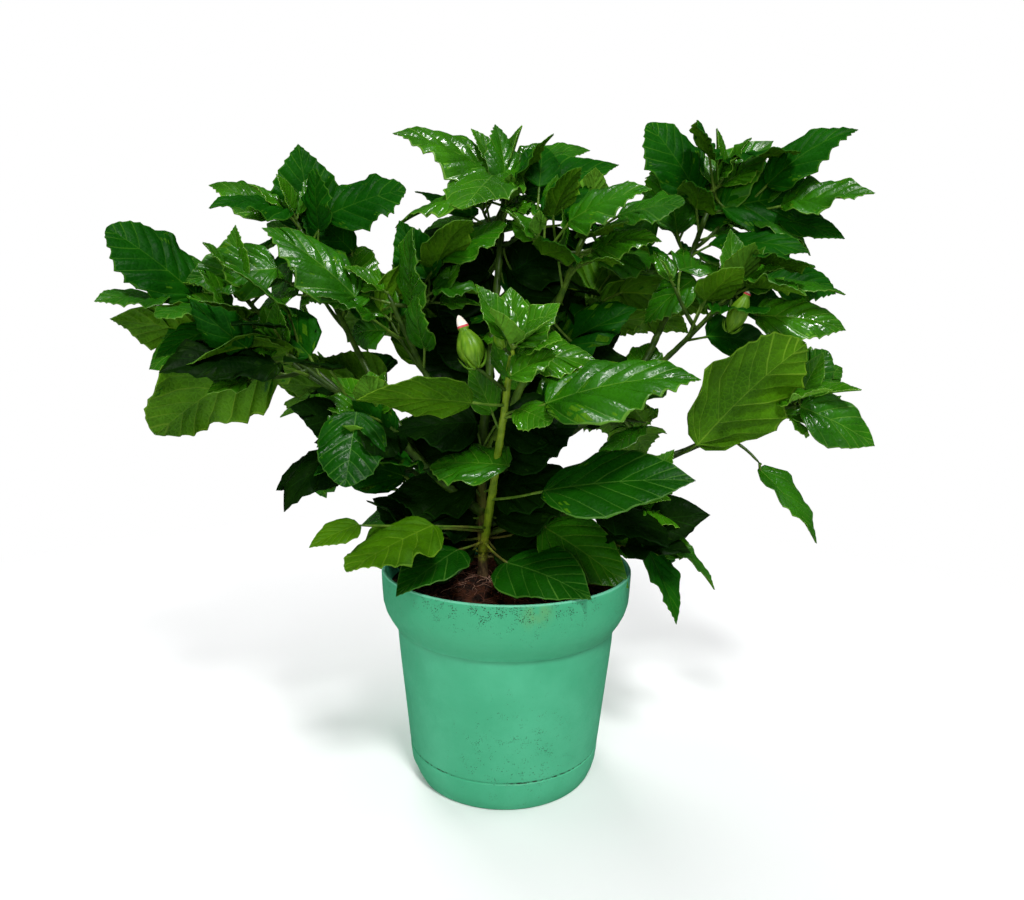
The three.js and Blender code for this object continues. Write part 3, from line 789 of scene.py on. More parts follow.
def green_stem(name, colour, pale, woody_to=0.24):
    """Smooth young stem or stalk, paler in places and browner below a height."""
    made, tree, shader, place = start_material(name, 0.42, Specular_IOR_Level=0.35)
    skin = place_group(tree, two_tone, place, Scale=160.0, Low=0.35, High=0.68, Under=colour, Over=pale)
    low = plus(tree, clamp_range(tree, height_of(tree, place), woody_to, woody_to - 0.07),
               clamp_range(tree, noise(tree, place, 60, 3), 0.35, 0.7, -0.3, 0.3))
    woody = clamp_range(tree, low, 0.3, 1.0, 0, 0.85)
    aged = blend_colour(tree, woody, skin["Colour"], WOODY_COLOUR)
    crust = crust_mask(tree, place)
    tree.links.new(blend_colour(tree, crust, aged, CRUST_COLOUR), shader.inputs["Base Color"])
    relief(tree, shader, plus(tree, noise(tree, place, 600, 3), crust), 0.0003)
    return made


bark_random = np.random.default_rng(BARK_SEED)


def limb_mesh(curve, root, tip, flare, roughness, nodes):
    """A tapering limb with a flare at its root, uneven skin and a swelling at each node."""
    steps = max(12, int(curve.length / 3))
    shares = np.linspace(0, 1, steps)
    radii = root + (tip - root) * shares
    radii = radii + flare * root * np.exp(-shares * curve.length / (2.2 * root))
    for node in nodes:
        away = (shares - node) * curve.length
        radii = radii * (1 + 0.16 * np.exp(-(away / 2.0) ** 2))
    to_end = np.clip((1 - shares) * curve.length / 7, 0, 1)
    radii = radii * (0.35 + 0.65 * np.sqrt(to_end))
    points = np.array([curve.at(share) for share in shares])
    points[1:-1] += bark_random.normal(0, 0.12 * root * 0.3, (steps - 2, 3))
    vertices, faces = tube(points, radii, LIMB_SIDES)
    centres = np.repeat(points, LIMB_SIDES, axis=0)
    ridges = 1 + roughness * bark_random.normal(0, 1, (steps, LIMB_SIDES)).reshape(-1, 1)
    return centres + (vertices - centres) * ridges, faces


trunk_curve = limb_curves["trunk"]
trunk_shares = np.linspace(0, 1, TRUNK_STEPS)
trunk_points = np.array([trunk_curve.at(share) for share in trunk_shares])
above = np.maximum(trunk_shares - TRUNK_STUB / trunk_curve.length, 0)
trunk_radii = TRUNK_RADIUS - TRUNK_TAPER * trunk_shares + TRUNK_FLARE * np.exp(-above / 0.06)
trunk_vertices, trunk_faces = tube(trunk_points, trunk_radii, TRUNK_SIDES)
centres = np.repeat(trunk_points, TRUNK_SIDES, axis=0)
turns = np.tile(2 * math.pi * np.arange(TRUNK_SIDES) / TRUNK_SIDES, TRUNK_STEPS)
rows = np.repeat(trunk_shares, TRUNK_SIDES)
fluting = 0.05 * np.sin(5 * turns + 2.5 * rows) + 0.035 * np.sin(9 * turns - 4 * rows + 1)
buttress = 0.07 * np.exp(-np.maximum(rows - 0.1, 0) / 0.08) * np.sin(4 * turns + 0.6)
pits = 0.022 * bark_random.normal(0, 1, len(rows))
swells = 0.06 * np.exp(-((rows - 0.42) / 0.02) ** 2) + 0.05 * np.exp(-((rows - 0.68) / 0.02) ** 2)
trunk_vertices = centres + (trunk_vertices - centres) * (1 + fluting + buttress + pits + swells)[:, None]
trunk = mesh_piece("trunk_bark", trunk_vertices, trunk_faces, [bark()])
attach(trunk, "root")
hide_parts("trunk")

# Boughs, older shoots, twigs and bud stalks are coloured nearly black-green: painted shade for the
# crown's inside.
shade_darkened_stem_paint = green_stem("shade_darkened_shoot", (0.016, 0.045, 0.003), (0.04, 0.085, 0.007))
young_stem_paint = green_stem("young_shoot", (0.095, 0.175, 0.006), (0.18, 0.28, 0.012), 0.2)
fresh_stem_paint = green_stem("fresh_shoot", (0.035, 0.09, 0.005), (0.075, 0.15, 0.01))
for name, (bearer, share, heading, reach, height, root, tip, sag) in LIMBS.items():
    curve = limb_curves[name]
    joints = np.arange(NODE_SPACING, curve.length, NODE_SPACING) / curve.length
    vertices, faces = limb_mesh(curve, root * SLENDER, tip * SLENDER, 0.3, 0.012, joints)
    paint = {"front_shoot": young_stem_paint, "centre_shoot": fresh_stem_paint}.get(name, shade_darkened_stem_paint)
    limb = mesh_piece(name + "_stem", vertices, faces, [paint])
    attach(limb, "root")
    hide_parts(name)


# --- Leaves ----------------------------------------------------------------------------------
# Glossy oval leaves with a drawn-out tip and blunt teeth. Each is a closed shell half a
# millimetre thick, raised between its veins, whose midrib and side veins are strips of paler
# faces. Its edge, and the margin of a finer leaf, take the same paler faces: painted light
# along the edge. A few veins fan from the stalk and the rest leave the midrib in turn.
LEAF_THICKNESS = 0.45
VEIN_STRIP = 0.0036
MIDRIB_STRIP = 0.0075
LEAF_WIDEST = 0.37
LEAF_TOOTH = 0.017
TOP, UNDER, TOP_VEIN, UNDER_VEIN = range(4)


def half_width(along, taper):
    """The blade's half-width at a share of its length, 1 where it is widest. A greater taper
    draws the tip out further."""
    blunt = 0.58
    point = blunt * (1 - LEAF_WIDEST) / (LEAF_WIDEST + 0.03)
    shape = ((along + 0.03) / (LEAF_WIDEST + 0.03)) ** blunt
    return shape * (np.maximum(1 - along, 0) / (1 - LEAF_WIDEST)) ** (point * taper)


class Pattern:
    """The rows and columns of a blade. Veins are (start on the midrib, end along the blade),
    gaps the shares between two veins that get a row, and columns run from midrib to margin.
    A row has its start and end, how much it bulges, its tooth and whether it is a vein."""

    def __init__(self, veins, gaps, columns):
        rows = [(-0.014, 0.0, 0.0, 0.0, False)]
        last = (-0.014, 0.0)
        teeth = {0.25: 0.1, 0.5: -0.5, 0.75: -0.7}
        for number, (start, end) in enumerate(veins):
            for gap in [0.5] if number == 0 else gaps:
                rows.append((last[0] + gap * (start - last[0]), last[1] + gap * (end - last[1]),
                             math.sin(math.pi * gap), teeth[gap], False))
            strip = VEIN_STRIP if number > 1 else VEIN_STRIP * 0.6
            rows.append((start - strip, end - 0.004, 0.0, 0.6, True))
            rows.append((start + strip, end + 0.004, 0.0, 0.9, False))
            last = (start + strip, end + 0.004)
        rows.append((0.95, 0.99, 0.4, -0.1, False))
        rows.append((0.988, 1.0, 0.0, 0.0, False))
        self.rows = np.array(rows, dtype=float)
        self.columns = np.array(columns)
        self.across = 2 * len(columns)
        self.faces = []
        self.kinds = []
        self.join()

    def join(self):
        """The faces of the shell, and which of its four finishes each has."""
        count = len(self.rows)
        across = self.across
        under = count * across
        for row in range(count - 1):
            for column in range(across - 1):
                a = row * across + column
                face = (a, a + 1, a + across + 1, a + across)
                # The margin's faces take the paler vein finish: painted light along the edge.
                margin = across > 8 and column in (0, across - 2)
                vein = column == across // 2 - 1 or margin or self.rows[row, 4] > 0
                self.faces.append(face)
                self.kinds.append(TOP_VEIN if vein else TOP)
                self.faces.append(tuple(v + under for v in reversed(face)))
                self.kinds.append(UNDER_VEIN if vein else UNDER)
        edge = [row * across for row in range(count)]
        edge += [(count - 1) * across + column for column in range(1, across)]
        edge += [row * across + across - 1 for row in range(count - 2, -1, -1)]
        edge += list(range(across - 2, 0, -1))
        # The shell's edge takes the paler vein finish too: painted light along the edge.
        for a, b in zip(edge, edge[1:] + edge[:1]):
            self.faces.append((a, b, b + under, a + under))
            self.kinds.append(TOP_VEIN)


FINE = Pattern(
    [(0.0, 0.2), (0.014, 0.45), (0.2, 0.58), (0.36, 0.7), (0.52, 0.8), (0.67, 0.88), (0.8, 0.945),
     (0.9, 0.98)],
    [0.25, 0.5, 0.75], [0, 0.3, 0.58, 0.8, 0.97, 1])
PLAIN = Pattern(
    [(0.0, 0.24), (0.014, 0.5), (0.26, 0.66), (0.5, 0.82), (0.74, 0.93)], [0.5], [0, 0.34, 0.7, 1])


class Form:
    """A kind of leaf. Width is its half-width as a share of its length. Fold and arch (degrees)
    raise each half and turn its margin down, and droop (degrees) bends the midrib. Wave, pucker
    and teeth are shares of the length and of the usual tooth, and taper draws out the tip."""

    def __init__(self, width, fold, arch, droop, wave, pucker, teeth=1.0, taper=1.2):
        self.width = width
        self.fold = fold
        self.arch = arch
        self.droop = droop
        self.wave = wave
        self.pucker = pucker
        self.teeth = teeth
        self.taper = taper


FORMS = {
    "plain": Form(0.35, 14, 34, 24, wave=0.022, pucker=0.03, teeth=0.2),
    "flat": Form(0.36, 10, 20, 16, wave=0.014, pucker=0.02, teeth=0.05),
    "broad": Form(0.44, 12, 34, 18, wave=0.034, pucker=0.034, teeth=0.6),
    "glossy": Form(0.35, 20, 62, 34, wave=0.036, pucker=0.048, teeth=0.7),
    "blunt": Form(0.41, 10, 30, 16, wave=0.042, pucker=0.034, teeth=0.85, taper=0.75),
    "crinkled": Form(0.38, 24, 40, 14, wave=0.06, pucker=0.052, teeth=0.6),
    "narrow": Form(0.24, 26, 30, 20, wave=0.03, pucker=0.02, teeth=0.8),
    "young": Form(0.32, 26, 14, 6, wave=0.018, pucker=0.018, teeth=0.6),
    "hanging": Form(0.32, 18, 44, 40, wave=0.03, pucker=0.026),
}


def leaf_vertices(pattern, form, length, random):
    """A leaf along +X with its top to +Z and its stalk end at the origin, in millimetres."""
    rows = pattern.rows
    count = len(rows)
    numbers = np.arange(count)
    twist = random.normal(0, 14)
    teeth = form.teeth * random.uniform(0.5, 1.4)
    halves = []
    for side in (1, -1):
        jitter = np.interp(numbers, np.linspace(0, count - 1, 9), random.normal(0, 0.012, 9))
        uneven = np.interp(numbers, np.linspace(0, count - 1, 12), random.normal(1, 0.022, 12))
        start = np.clip(rows[:, 0] + jitter * (rows[:, 0] > 0.1) * (rows[:, 0] < 0.9), -0.02, 0.99)
        end = np.clip(rows[:, 1] + 0.8 * jitter * (rows[:, 1] > 0.1) * (rows[:, 1] < 0.95), 0, 1)
        toothed = teeth * np.clip((end - 0.16) / 0.25, 0, 1) * np.clip((1.0 - end) / 0.16, 0, 1)
        reach = form.width * half_width(end, form.taper) * uneven + LEAF_TOOTH * toothed * rows[:, 3]
        reach = np.maximum(reach, 0.003)
        end = end + 0.009 * toothed * rows[:, 3]
        out = pattern.columns[None, :]
        rib = (MIDRIB_STRIP * (1 - 0.8 * np.clip(start, 0, 1)))[:, None]
        rib = np.minimum(rib, reach[:, None] * 0.8)
        along = start[:, None] + (end - start)[:, None] * out ** 1.15
        away = rib + (reach[:, None] - rib) * out ** 0.96
        share = away / form.width
        lift = np.radians(form.fold) - np.radians(form.arch) * share / 2
        swell = 4 * out * (1 - out) * 0.75 + 0.45 * out
        near_tip = np.clip((1.0 - end) / 0.4, 0.1, 1)[:, None]
        height = away * np.sin(lift)
        height = height + form.pucker * rows[:, 2][:, None] * swell * near_tip
        phase = 2 * math.pi * random.random()
        ripple = np.sin(2 * math.pi * 2.3 * along + phase)
        ripple = ripple + 0.6 * np.sin(2 * math.pi * 4.1 * along + 2 * phase)
        height = height + form.wave * share ** 1.6 * ripple
        grid = np.stack([along, side * away * np.cos(lift), height], axis=2)
        halves.append(grid if side < 0 else grid[:, ::-1])
    sheet = np.concatenate(halves, axis=1).reshape(-1, 3)
    return finish_shell(pattern, sheet, length, twist, form.droop * random.uniform(0.8, 1.3))


def finish_shell(pattern, sheet, length, twist, droop):
    """Gives a leaf's sheet its thickness and ribs, and twists and bends it along its chord."""
    count = len(pattern.rows)
    ridge = np.zeros(len(sheet))
    on_vein = pattern.rows[:, 4] > 0
    on_vein[1:] |= pattern.rows[:-1, 4] > 0
    ridge[np.repeat(on_vein, pattern.across)] = 0.3
    columns = np.tile(np.arange(pattern.across), count)
    middle = pattern.across // 2
    ridge[(columns == middle - 1) | (columns == middle)] = 0.6
    top = sheet * length
    low = top.copy()
    top[:, 2] += LEAF_THICKNESS / 2 - 0.2 * ridge
    low[:, 2] -= LEAF_THICKNESS / 2 + ridge
    x, y, z = np.concatenate([top, low]).T / length
    turn = np.radians(twist) * x
    y, z = y * np.cos(turn) - z * np.sin(turn), y * np.sin(turn) + z * np.cos(turn)
    shares = np.linspace(0, 1, 60)
    slope = -np.radians(droop) * shares ** 1.4
    ahead = np.concatenate([[0], np.cumsum(np.cos(slope))[:-1]]) / 60
    down = np.concatenate([[0], np.cumsum(np.sin(slope))[:-1]]) / 60
    inside = np.clip(x, 0, 1)
    slopes = np.interp(inside, shares, slope)
    bent_x = np.interp(inside, shares, ahead) + (x - inside) - z * np.sin(slopes)
    bent_z = np.interp(inside, shares, down) + z * np.cos(slopes)
    chord = math.hypot(ahead[-1], down[-1])
    lean = math.atan2(down[-1], ahead[-1])
    level_x = (bent_x * math.cos(lean) + bent_z * math.sin(lean)) / chord
    level_z = (bent_z * math.cos(lean) - bent_x * math.sin(lean)) / chord
    return np.stack([level_x, y, level_z], axis=1) * length


# Tone: the colours of the top, the underside and the top's veins, its roughness and its gloss.
LEAF_TONES = {
    # Near-black leaves stand in for the shade inside the crown: painted shade.
    "painted_shade": ((0.001, 0.013, 0.0005), (0.004, 0.024, 0.0006), (0.003, 0.026, 0.001), 0.5, 0.06),
    "deep": ((0.003, 0.062, 0.001), (0.034, 0.13, 0.002), (0.024, 0.115, 0.005), 0.46, 0.06),
    "waxy": ((0.003, 0.056, 0.001), (0.034, 0.13, 0.002), (0.035, 0.135, 0.012), 0.36, 0.16),
    "green": ((0.014, 0.11, 0.0015), (0.045, 0.155, 0.003), (0.06, 0.19, 0.012), 0.3, 0.4),
    "bright": ((0.024, 0.14, 0.002), (0.075, 0.24, 0.016), (0.09, 0.25, 0.018), 0.23, 0.55),
    "olive": ((0.034, 0.125, 0.001), (0.034, 0.125, 0.001), (0.08, 0.2, 0.008), 0.5, 0.1),
}
UNDER_VEIN_COLOUR = (0.08, 0.2, 0.009)

# A leaf's skin: uneven green, a fine net of paler veinlets and a waxy gloss that varies.
leaf_skin, given, wanted = start_group(
    "leaf_skin",
    [("Vector", "Place", None), ("Color", "Dark", (0, 0, 0)), ("Color", "Light", (1, 1, 1)),
     ("Color", "Net", (1, 1, 1)), ("Float", "Net Strength", 0.25), ("Float", "Gloss", 0.3)],
    [("Color", "Colour"), ("Float", "Roughness"), ("Float", "Height")])
cloud = clamp_range(leaf_skin, noise(leaf_skin, given["Place"], 26, 3, 0.55), 0.3, 0.72)
green = blend_colour(leaf_skin, cloud, given["Dark"], given["Light"])
net = add_node(leaf_skin, "ShaderNodeTexVoronoi", feature="DISTANCE_TO_EDGE", inputs={"Scale": 250.0})
leaf_skin.links.new(given["Place"], net.inputs["Vector"])
line = times(leaf_skin, clamp_range(leaf_skin, net.outputs["Distance"], 0.09, 0.0), given["Net Strength"])
leaf_skin.links.new(blend_colour(leaf_skin, line, green, given["Net"]), wanted["Colour"])
wax = clamp_range(leaf_skin, noise(leaf_skin, given["Place"], 55, 4, 0.6), 0.35, 0.68, -0.07, 0.12)
leaf_skin.links.new(plus(leaf_skin, given["Gloss"], wax), wanted["Roughness"])
swell = clamp_range(leaf_skin, net.outputs["Distance"], 0.0, 0.35)
dimple = noise(leaf_skin, given["Place"], 120, 2, 0.5)
leaf_skin.links.new(plus(leaf_skin, times(leaf_skin, swell, 0.5), dimple), wanted["Height"])


def leaf_finish(name, colour, gloss, net_strength, depth, shine):
    """A material with the leaf's skin in a colour of its own."""
    made, tree, shader, place = start_material(name, gloss, Specular_IOR_Level=shine)
    dark = tuple(0.66 * c for c in colour)
    light = (colour[0] * 1.5 + 0.002, colour[1] * 1.28, colour[2] * 1.2)
    net_colour = (colour[0] * 1.7 + 0.006, colour[1] * 1.6 + 0.008, colour[2] * 1.6 + 0.001)
    skin = place_group(tree, leaf_skin, place, Dark=dark, Light=light, Net=net_colour,
                       Net_Strength=net_strength, Gloss=gloss)
    tree.links.new(skin["Colour"], shader.inputs["Base Color"])
    tree.links.new(skin["Roughness"], shader.inputs["Roughness"])
    relief(tree, shader, skin["Height"], depth)
    return made


TONE_NAMES = list(LEAF_TONES)
leaf_paints = []
for tone, (top, under, vein, roughness, gloss) in LEAF_TONES.items():
    leaf_paints.append(leaf_finish("leaf_top_" + tone, top, roughness, 0.2, 0.0003, gloss))
    leaf_paints.append(leaf_finish("leaf_under_" + tone, under, 0.55, 0.35, 0.0004, 0.08))
    leaf_paints.append(leaf_finish("leaf_vein_" + tone, vein, roughness + 0.08, 0.1, 0.00006, gloss))
leaf_paints.append(leaf_finish("leaf_vein_under", UNDER_VEIN_COLOUR, 0.5, 0.1, 0.00006, 0.08))


def kinds_in(pattern, tone):
    """The material number of each face of a leaf of a tone."""
    first = 3 * TONE_NAMES.index(tone)
    numbers = {TOP: first, UNDER: first + 1, TOP_VEIN: first + 2, UNDER_VEIN: 3 * len(TONE_NAMES)}
    return [numbers[kind] for kind in pattern.kinds]


# --- Foliage ---------------------------------------------------------------------------------
# Leaves on stalks, from the limbs and from twigs that grow out of them. They follow a branching
# rule: a leaf at each node, turned by the golden angle from the last, and young ones at each tip.
# Each mass of foliage is one piece, and the stalks and the twigs are two more.

# The leaves that give the plant its face are set one by one. Places are (x, z) in millimetres in
# the front view: the upright plane through the pot's middle, seen from EYE. Depths are y.
# Mass: its limb, and for each leaf the node's share of the limb, the blade's foot and its depth,
# its tip and its depth, how broad it looks, the side that shows, its form and its tone.
FACE_LEAVES = {
    "left_top_leaves": ("left_top_shoot", [
        (0.72, (-120, 380), -10, (-190, 430), -20, 40, "top", "glossy", "green"),
        (0.88, (-140, 440), 20, (-80, 460), 20, 35, "top", "blunt", "deep"),
    ]),
    "left_outer_leaves": ("left_outer_shoot", [
        (0.94, (-180, 400), -20, (-250, 390), -40, 40, "top", "crinkled", "green"),
        (0.9, (-240, 350), -20, (-310, 360), -60, 40, "under", "broad", "green"),
    ]),
    "left_low_leaves": ("left_low_shoot", [
        (1.0, (-170, 340), -50, (-280, 270), -60, 50, "under", "blunt", "green"),
    ]),
    "hanging_left_leaves": ("left_bough", [
        (0.92, (-120, 290), -60, (-130, 230), -90, 60, "top", "blunt", "waxy"),
    ]),
    "inner_left_leaves": ("inner_left_shoot", [
        (0.94, (-100, 370), 10, (-50, 410), 20, 40, "under", "flat", "green"),
    ]),
    "centre_top_leaves": ("centre_bough", [
        (0.98, (-10, 470), 60, (-90, 500), 40, 30, "top", "glossy", "bright"),
        (0.96, (10, 460), 70, (80, 480), 80, 40, "top", "flat", "deep"),
    ]),
    "right_top_leaves": ("right_top_shoot", [
        (1.0, (140, 460), 50, (100, 510), 50, 40, "top", "blunt", "deep"),
        (0.98, (160, 450), 50, (230, 460), 60, 50, "top", "blunt", "deep"),
    ]),
    "right_mid_leaves": ("right_mid_shoot", [
        (1.0, (190, 370), -10, (260, 360), -20, 35, "top", "glossy", "bright"),
    ]),
    "right_broad_leaf": ("right_low_bough", [
        (0.62, (150, 270), -20, (230, 350), -30, 60, "under", "blunt", "olive"),
    ]),
    "right_outer_leaves": ("right_low_bough", [
        (1.0, (230, 300), 0, (290, 270), 0, 35, "top", "plain", "green"),
    ]),
    "right_drooping_leaf": ("right_drooping_stalk", [
        (1.0, (200, 250), 0, (250, 190), -20, 20, "top", "narrow", "green"),
    ]),
    "low_right_leaves": ("low_right_shoot", [
        (1.0, (110, 190), -10, (140, 120), -30, 20, "top", "narrow", "deep"),
        (1.0, (130, 190), 0, (170, 150), -10, 10, "top", "narrow", "green"),
    ]),
    "front_top_leaves": ("front_shoot", [
        (0.76, (-30, 300), -80, (-120, 300), -100, 35, "under", "flat", "olive"),
        (0.7, (30, 300), -80, (150, 320), -90, 50, "top", "glossy", "green"),
        (0.94, (0, 320), -70, (20, 370), -60, 45, "top", "broad", "bright"),
        (0.96, (0, 320), -80, (40, 340), -80, 20, "top", "crinkled", "bright"),
    ]),
    "front_left_leaves": ("front_shoot", [
        (0.48, (0, 250), -50, (-60, 250), -20, 35, "top", "blunt", "green"),
    ]),
    "front_right_leaves": ("front_shoot", [
        (0.3, (30, 230), -60, (150, 240), -90, 40, "top", "flat", "waxy"),
    ]),
    "low_front_left_leaves": ("front_shoot", [
        (0.14, (-60, 200), -60, (-130, 160), -110, 50, "top", "blunt", "olive"),
        (0.12, (-120, 200), -80, (-160, 180), -100, 20, "top", "flat", "olive"),
        (0.06, (-40, 180), -40, (-90, 140), -90, 35, "top", "flat", "waxy"),
    ]),
    "low_front_right_leaves": ("front_shoot", [
        (0.06, (0, 170), -30, (70, 140), -90, 45, "top", "flat", "waxy"),
    ]),
    "heart_low_leaves": ("right_bough", [
        (0.3, (30, 200), -10, (100, 150), -40, 50, "top", "flat", "green"),
    ]),
}
# Mass: the limb it grows on and from what share, twigs, leaves, their lengths and tones.
GROWTH = {
    "left_top_leaves": ("left_top_shoot", 0.55, 4, 17, (46, 78), ("deep", "green", "bright")),
    "left_outer_leaves": ("left_outer_shoot", 0.5, 3, 12, (46, 78), ("deep", "green")),
    "left_low_leaves": ("left_low_shoot", 0.35, 2, 8, (46, 78), ("deep", "painted_shade")),
    "hanging_left_leaves": ("left_bough", 0.5, 3, 13, (36, 62), ("deep", "painted_shade")),
    "inner_left_leaves": ("inner_left_shoot", 0.55, 3, 12, (44, 74), ("deep", "green")),
    "centre_top_leaves": ("centre_bough", 0.72, 4, 20, (48, 84), ("deep", "green", "bright")),
    "centre_leaves": ("centre_shoot", 0.72, 2, 12, (44, 70), ("deep", "green", "bright")),
    "right_top_leaves": ("right_top_shoot", 0.6, 4, 20, (50, 84), ("deep", "green")),
    "right_mid_leaves": ("right_mid_shoot", 0.6, 3, 12, (46, 74), ("deep", "green")),
    "right_outer_leaves": ("right_low_bough", 0.84, 2, 6, (40, 60), ("green", "bright")),
    "low_right_leaves": ("low_right_shoot", 0.4, 2, 7, (44, 66), ("deep", "painted_shade")),
    "front_top_leaves": ("front_shoot", 0.6, 1, 4, (34, 54), ("green", "bright")),
    "low_left_leaves": ("low_left_shoot", 0.3, 2, 11, (54, 86), ("deep", "painted_shade", "green")),
    "heart_low_leaves": ("right_bough", 0.15, 4, 20, (58, 92), ("painted_shade", "deep")),
    "heart_mid_leaves": ("centre_shoot", 0.25, 4, 18, (58, 90), ("painted_shade", "deep")),
    "heart_high_leaves": ("centre_bough", 0.4, 3, 22, (54, 86), ("deep", "painted_shade")),
    "back_left_leaves": ("back_left_bough", 0.45, 4, 17, (56, 92), ("deep", "green", "bright")),
    "back_right_leaves": ("back_right_bough", 0.45, 4, 17, (56, 92), ("deep", "green", "bright")),
    "back_low_leaves": ("back_low_shoot", 0.35, 4, 16, (56, 92), ("deep", "green", "olive")),
    "back_left_low_leaves": ("back_left_low_shoot", 0.35, 3, 14, (54, 88), ("deep", "green")),
    "back_right_low_leaves": ("back_right_low_shoot", 0.35, 3, 14, (54, 88), ("deep", "green")),
}
# The widest gaps in the front view. Leaves that follow the rule keep clear of them.
OPENINGS = [
    (-50, 480), (90, 490), (-100, 420), (-140, 350), (-190, 300), (-170, 270), (130, 330),
    (130, 290), (160, 240), (200, 280), (-130, 220),
]
OPENING_RADIUS = 14
EYE = np.array(CAMERA_PLACE) / MM
GROWTH_SEED = 23
GOLDEN_TURN = 137.5
LEAF_GAP = 0.42
ROOM_ROUND_MASS = 6
ROOM_ROUND_TIP = 14
ROOM_AT_EDGE = 3
RIM_ROOM_HEIGHT = 182
RIM_ROOM_RADIUS = 116
STALK_SIDES = 7
STALK_RADIUS = 1.0
TWIG_SIDES = 8
TWIG_RADII = (1.9, 1.2)
TWIG_REACH = 62
TWIG_BARE_SHARE = 0.4
TURN_TO_FRONT = -0.85
TURN_TO_BACK = 0.5
STEEPEST_FACE = 0.93
TRIES_PER_LEAF = 40
KNOT_AT_LIMB_TIP = 5
KNOT_AT_TWIG_TIP = 2
YOUNG_LEAF = (15, 30)
RULE_FORMS = ["plain", "flat", "glossy", "blunt", "broad", "crinkled", "hanging"]
UP = np.array([0.0, 0.0, 1.0])
growth = np.random.default_rng(GROWTH_SEED)
cad_floor = np.array(cad_low) / MM
cad_roof = np.array(cad_high) / MM
foliage = {}
stalks = Heap()
twigs = Heap()
blade_middles = []


def unit(vector):
    """The vector at length 1."""
    return vector / np.linalg.norm(vector)


def turned(vector, axis, angle):
    """A vector turned about an axis by an angle in degrees."""
    turn = math.radians(angle)
    return (vector * math.cos(turn) + np.cross(axis, vector) * math.sin(turn)
            + axis * np.dot(axis, vector) * (1 - math.cos(turn)))


def add_stalk(node, base, axis):
    """A stalk from its node to a blade, which it joins in the blade's own direction."""
    span = np.linalg.norm(base - node)
    middle = (node + base) / 2 - axis * span * 0.14 - UP * span * 0.06
    line = Curve(node, middle, base + axis * 1.5)
    shares = np.linspace(0, 1, 9)
    radii = STALK_RADIUS * (1.15 - 0.3 * shares + 0.45 * np.exp(-shares / 0.06))
    radii[-2] *= 1.25
    radii[-1] *= 0.7
    stalks.add(*tube([line.at(share) for share in shares], radii, STALK_SIDES))


def add_leaf(mass, node, base, axis, face, length, form, tone, pattern):
    """A leaf and its stalk, put into the foliage of a mass."""
    blade = leaf_vertices(pattern, FORMS[form], length, growth)
    top = unit(face - axis * np.dot(face, axis))
    blade = base + blade @ np.array([axis, np.cross(top, axis), top])
    foliage.setdefault(mass, Heap()).add(blade, pattern.faces, kinds_in(pattern, tone))
    blade_middles.append((base + axis * length * 0.5, length))
    add_stalk(node, base, axis)


def front_point(place, depth):
    """The point at a depth that shows at a place of the front view."""
    return EYE + (np.array([place[0], 0, place[1]]) - EYE) * (depth - EYE[1]) / -EYE[1]


def front_place(point):
    """Where a point shows in the front view."""
    return (EYE + (point - EYE) * -EYE[1] / (point[1] - EYE[1]))[[0, 2]]


def looks_broad(foot, axis, face, length, form):
    """How broad a blade looks across its length in the front view."""
    middle = foot + axis * length * LEAF_WIDEST
    across = np.cross(face, axis)
    lift = math.radians(form.fold - form.arch / 2)
    line = unit(front_place(foot + axis * length) - front_place(foot))
    sides = [0.0]
    for hand in (1, -1):
        margin = middle + (hand * across * math.cos(lift) + face * math.sin(lift)) * form.width * length
        off = front_place(margin) - front_place(middle)
        sides.append(line[0] * off[1] - line[1] * off[0])
    return max(sides) - min(sides)


def set_leaf(mass, limb, share, place, depth, tip_place, tip_depth, breadth, side, form, tone):
    """A leaf set by its places in the front view. Of the turns about its length that show the
    wanted side, it takes the one that looks as broad as it should, and rather faces up."""
    shape = FORMS[form]
    foot = front_point(place, depth)
    span = front_point(tip_place, tip_depth) - foot
    length = np.linalg.norm(span)
    axis = span / length
    best = None
    for turn in range(0, 360, 5):
        face = turned(unit(UP - axis * axis[2]), axis, turn)
        if (np.dot(face, EYE - foot) > 0) != (side == "top"):
            continue
        miss = abs(looks_broad(foot, axis, face, length, shape) - breadth) / max(breadth, 8)
        if best is None or 6 * miss - face[2] < best[0]:
            best = (6 * miss - face[2], face)
    add_leaf(mass, limb_curves[limb].at(share), foot, axis, best[1], length, form, tone, FINE)


for mass, (limb, leaves) in FACE_LEAVES.items():
    for leaf in leaves:
        set_leaf(mass, limb, *leaf)

# Near-black leaves, painted shade, stand in pairs about the trunk and the middle bough, and shut the
# crown's heart.
HEART_LEAVES = 10
HEART_BOTTOM = 170
HEART_STEP = 26
HIGH_HEART_LEAVES = 12
HIGH_HEART_BOTTOM = 290
HIGH_HEART_STEP = 22
HEART_BREADTH = 46
for i in range(HEART_LEAVES):
    hand = (-1, 1)[i % 2]
    height = HEART_BOTTOM + HEART_STEP * (i // 2)
    set_leaf("heart_mid_leaves", "trunk", 0.45 + 0.06 * i, (hand * 8 - 18, height + 10), 0,
             (hand * 78 - 18, height + 14 * (i % 4)), 14 - 14 * (i % 3), HEART_BREADTH,
             "top", "broad", "painted_shade")

for i in range(HIGH_HEART_LEAVES):
    hand = (-1, 1)[i % 2]
    height = HIGH_HEART_BOTTOM + HIGH_HEART_STEP * (i // 2)
    set_leaf("heart_high_leaves", "centre_bough", 0.3 + 0.05 * i, (hand * 8 - 8, height), 60,
             (hand * (50 + 8 * (i % 3)) - 8, height + 30), 66, HEART_BREADTH,
             "top", "broad", "painted_shade")


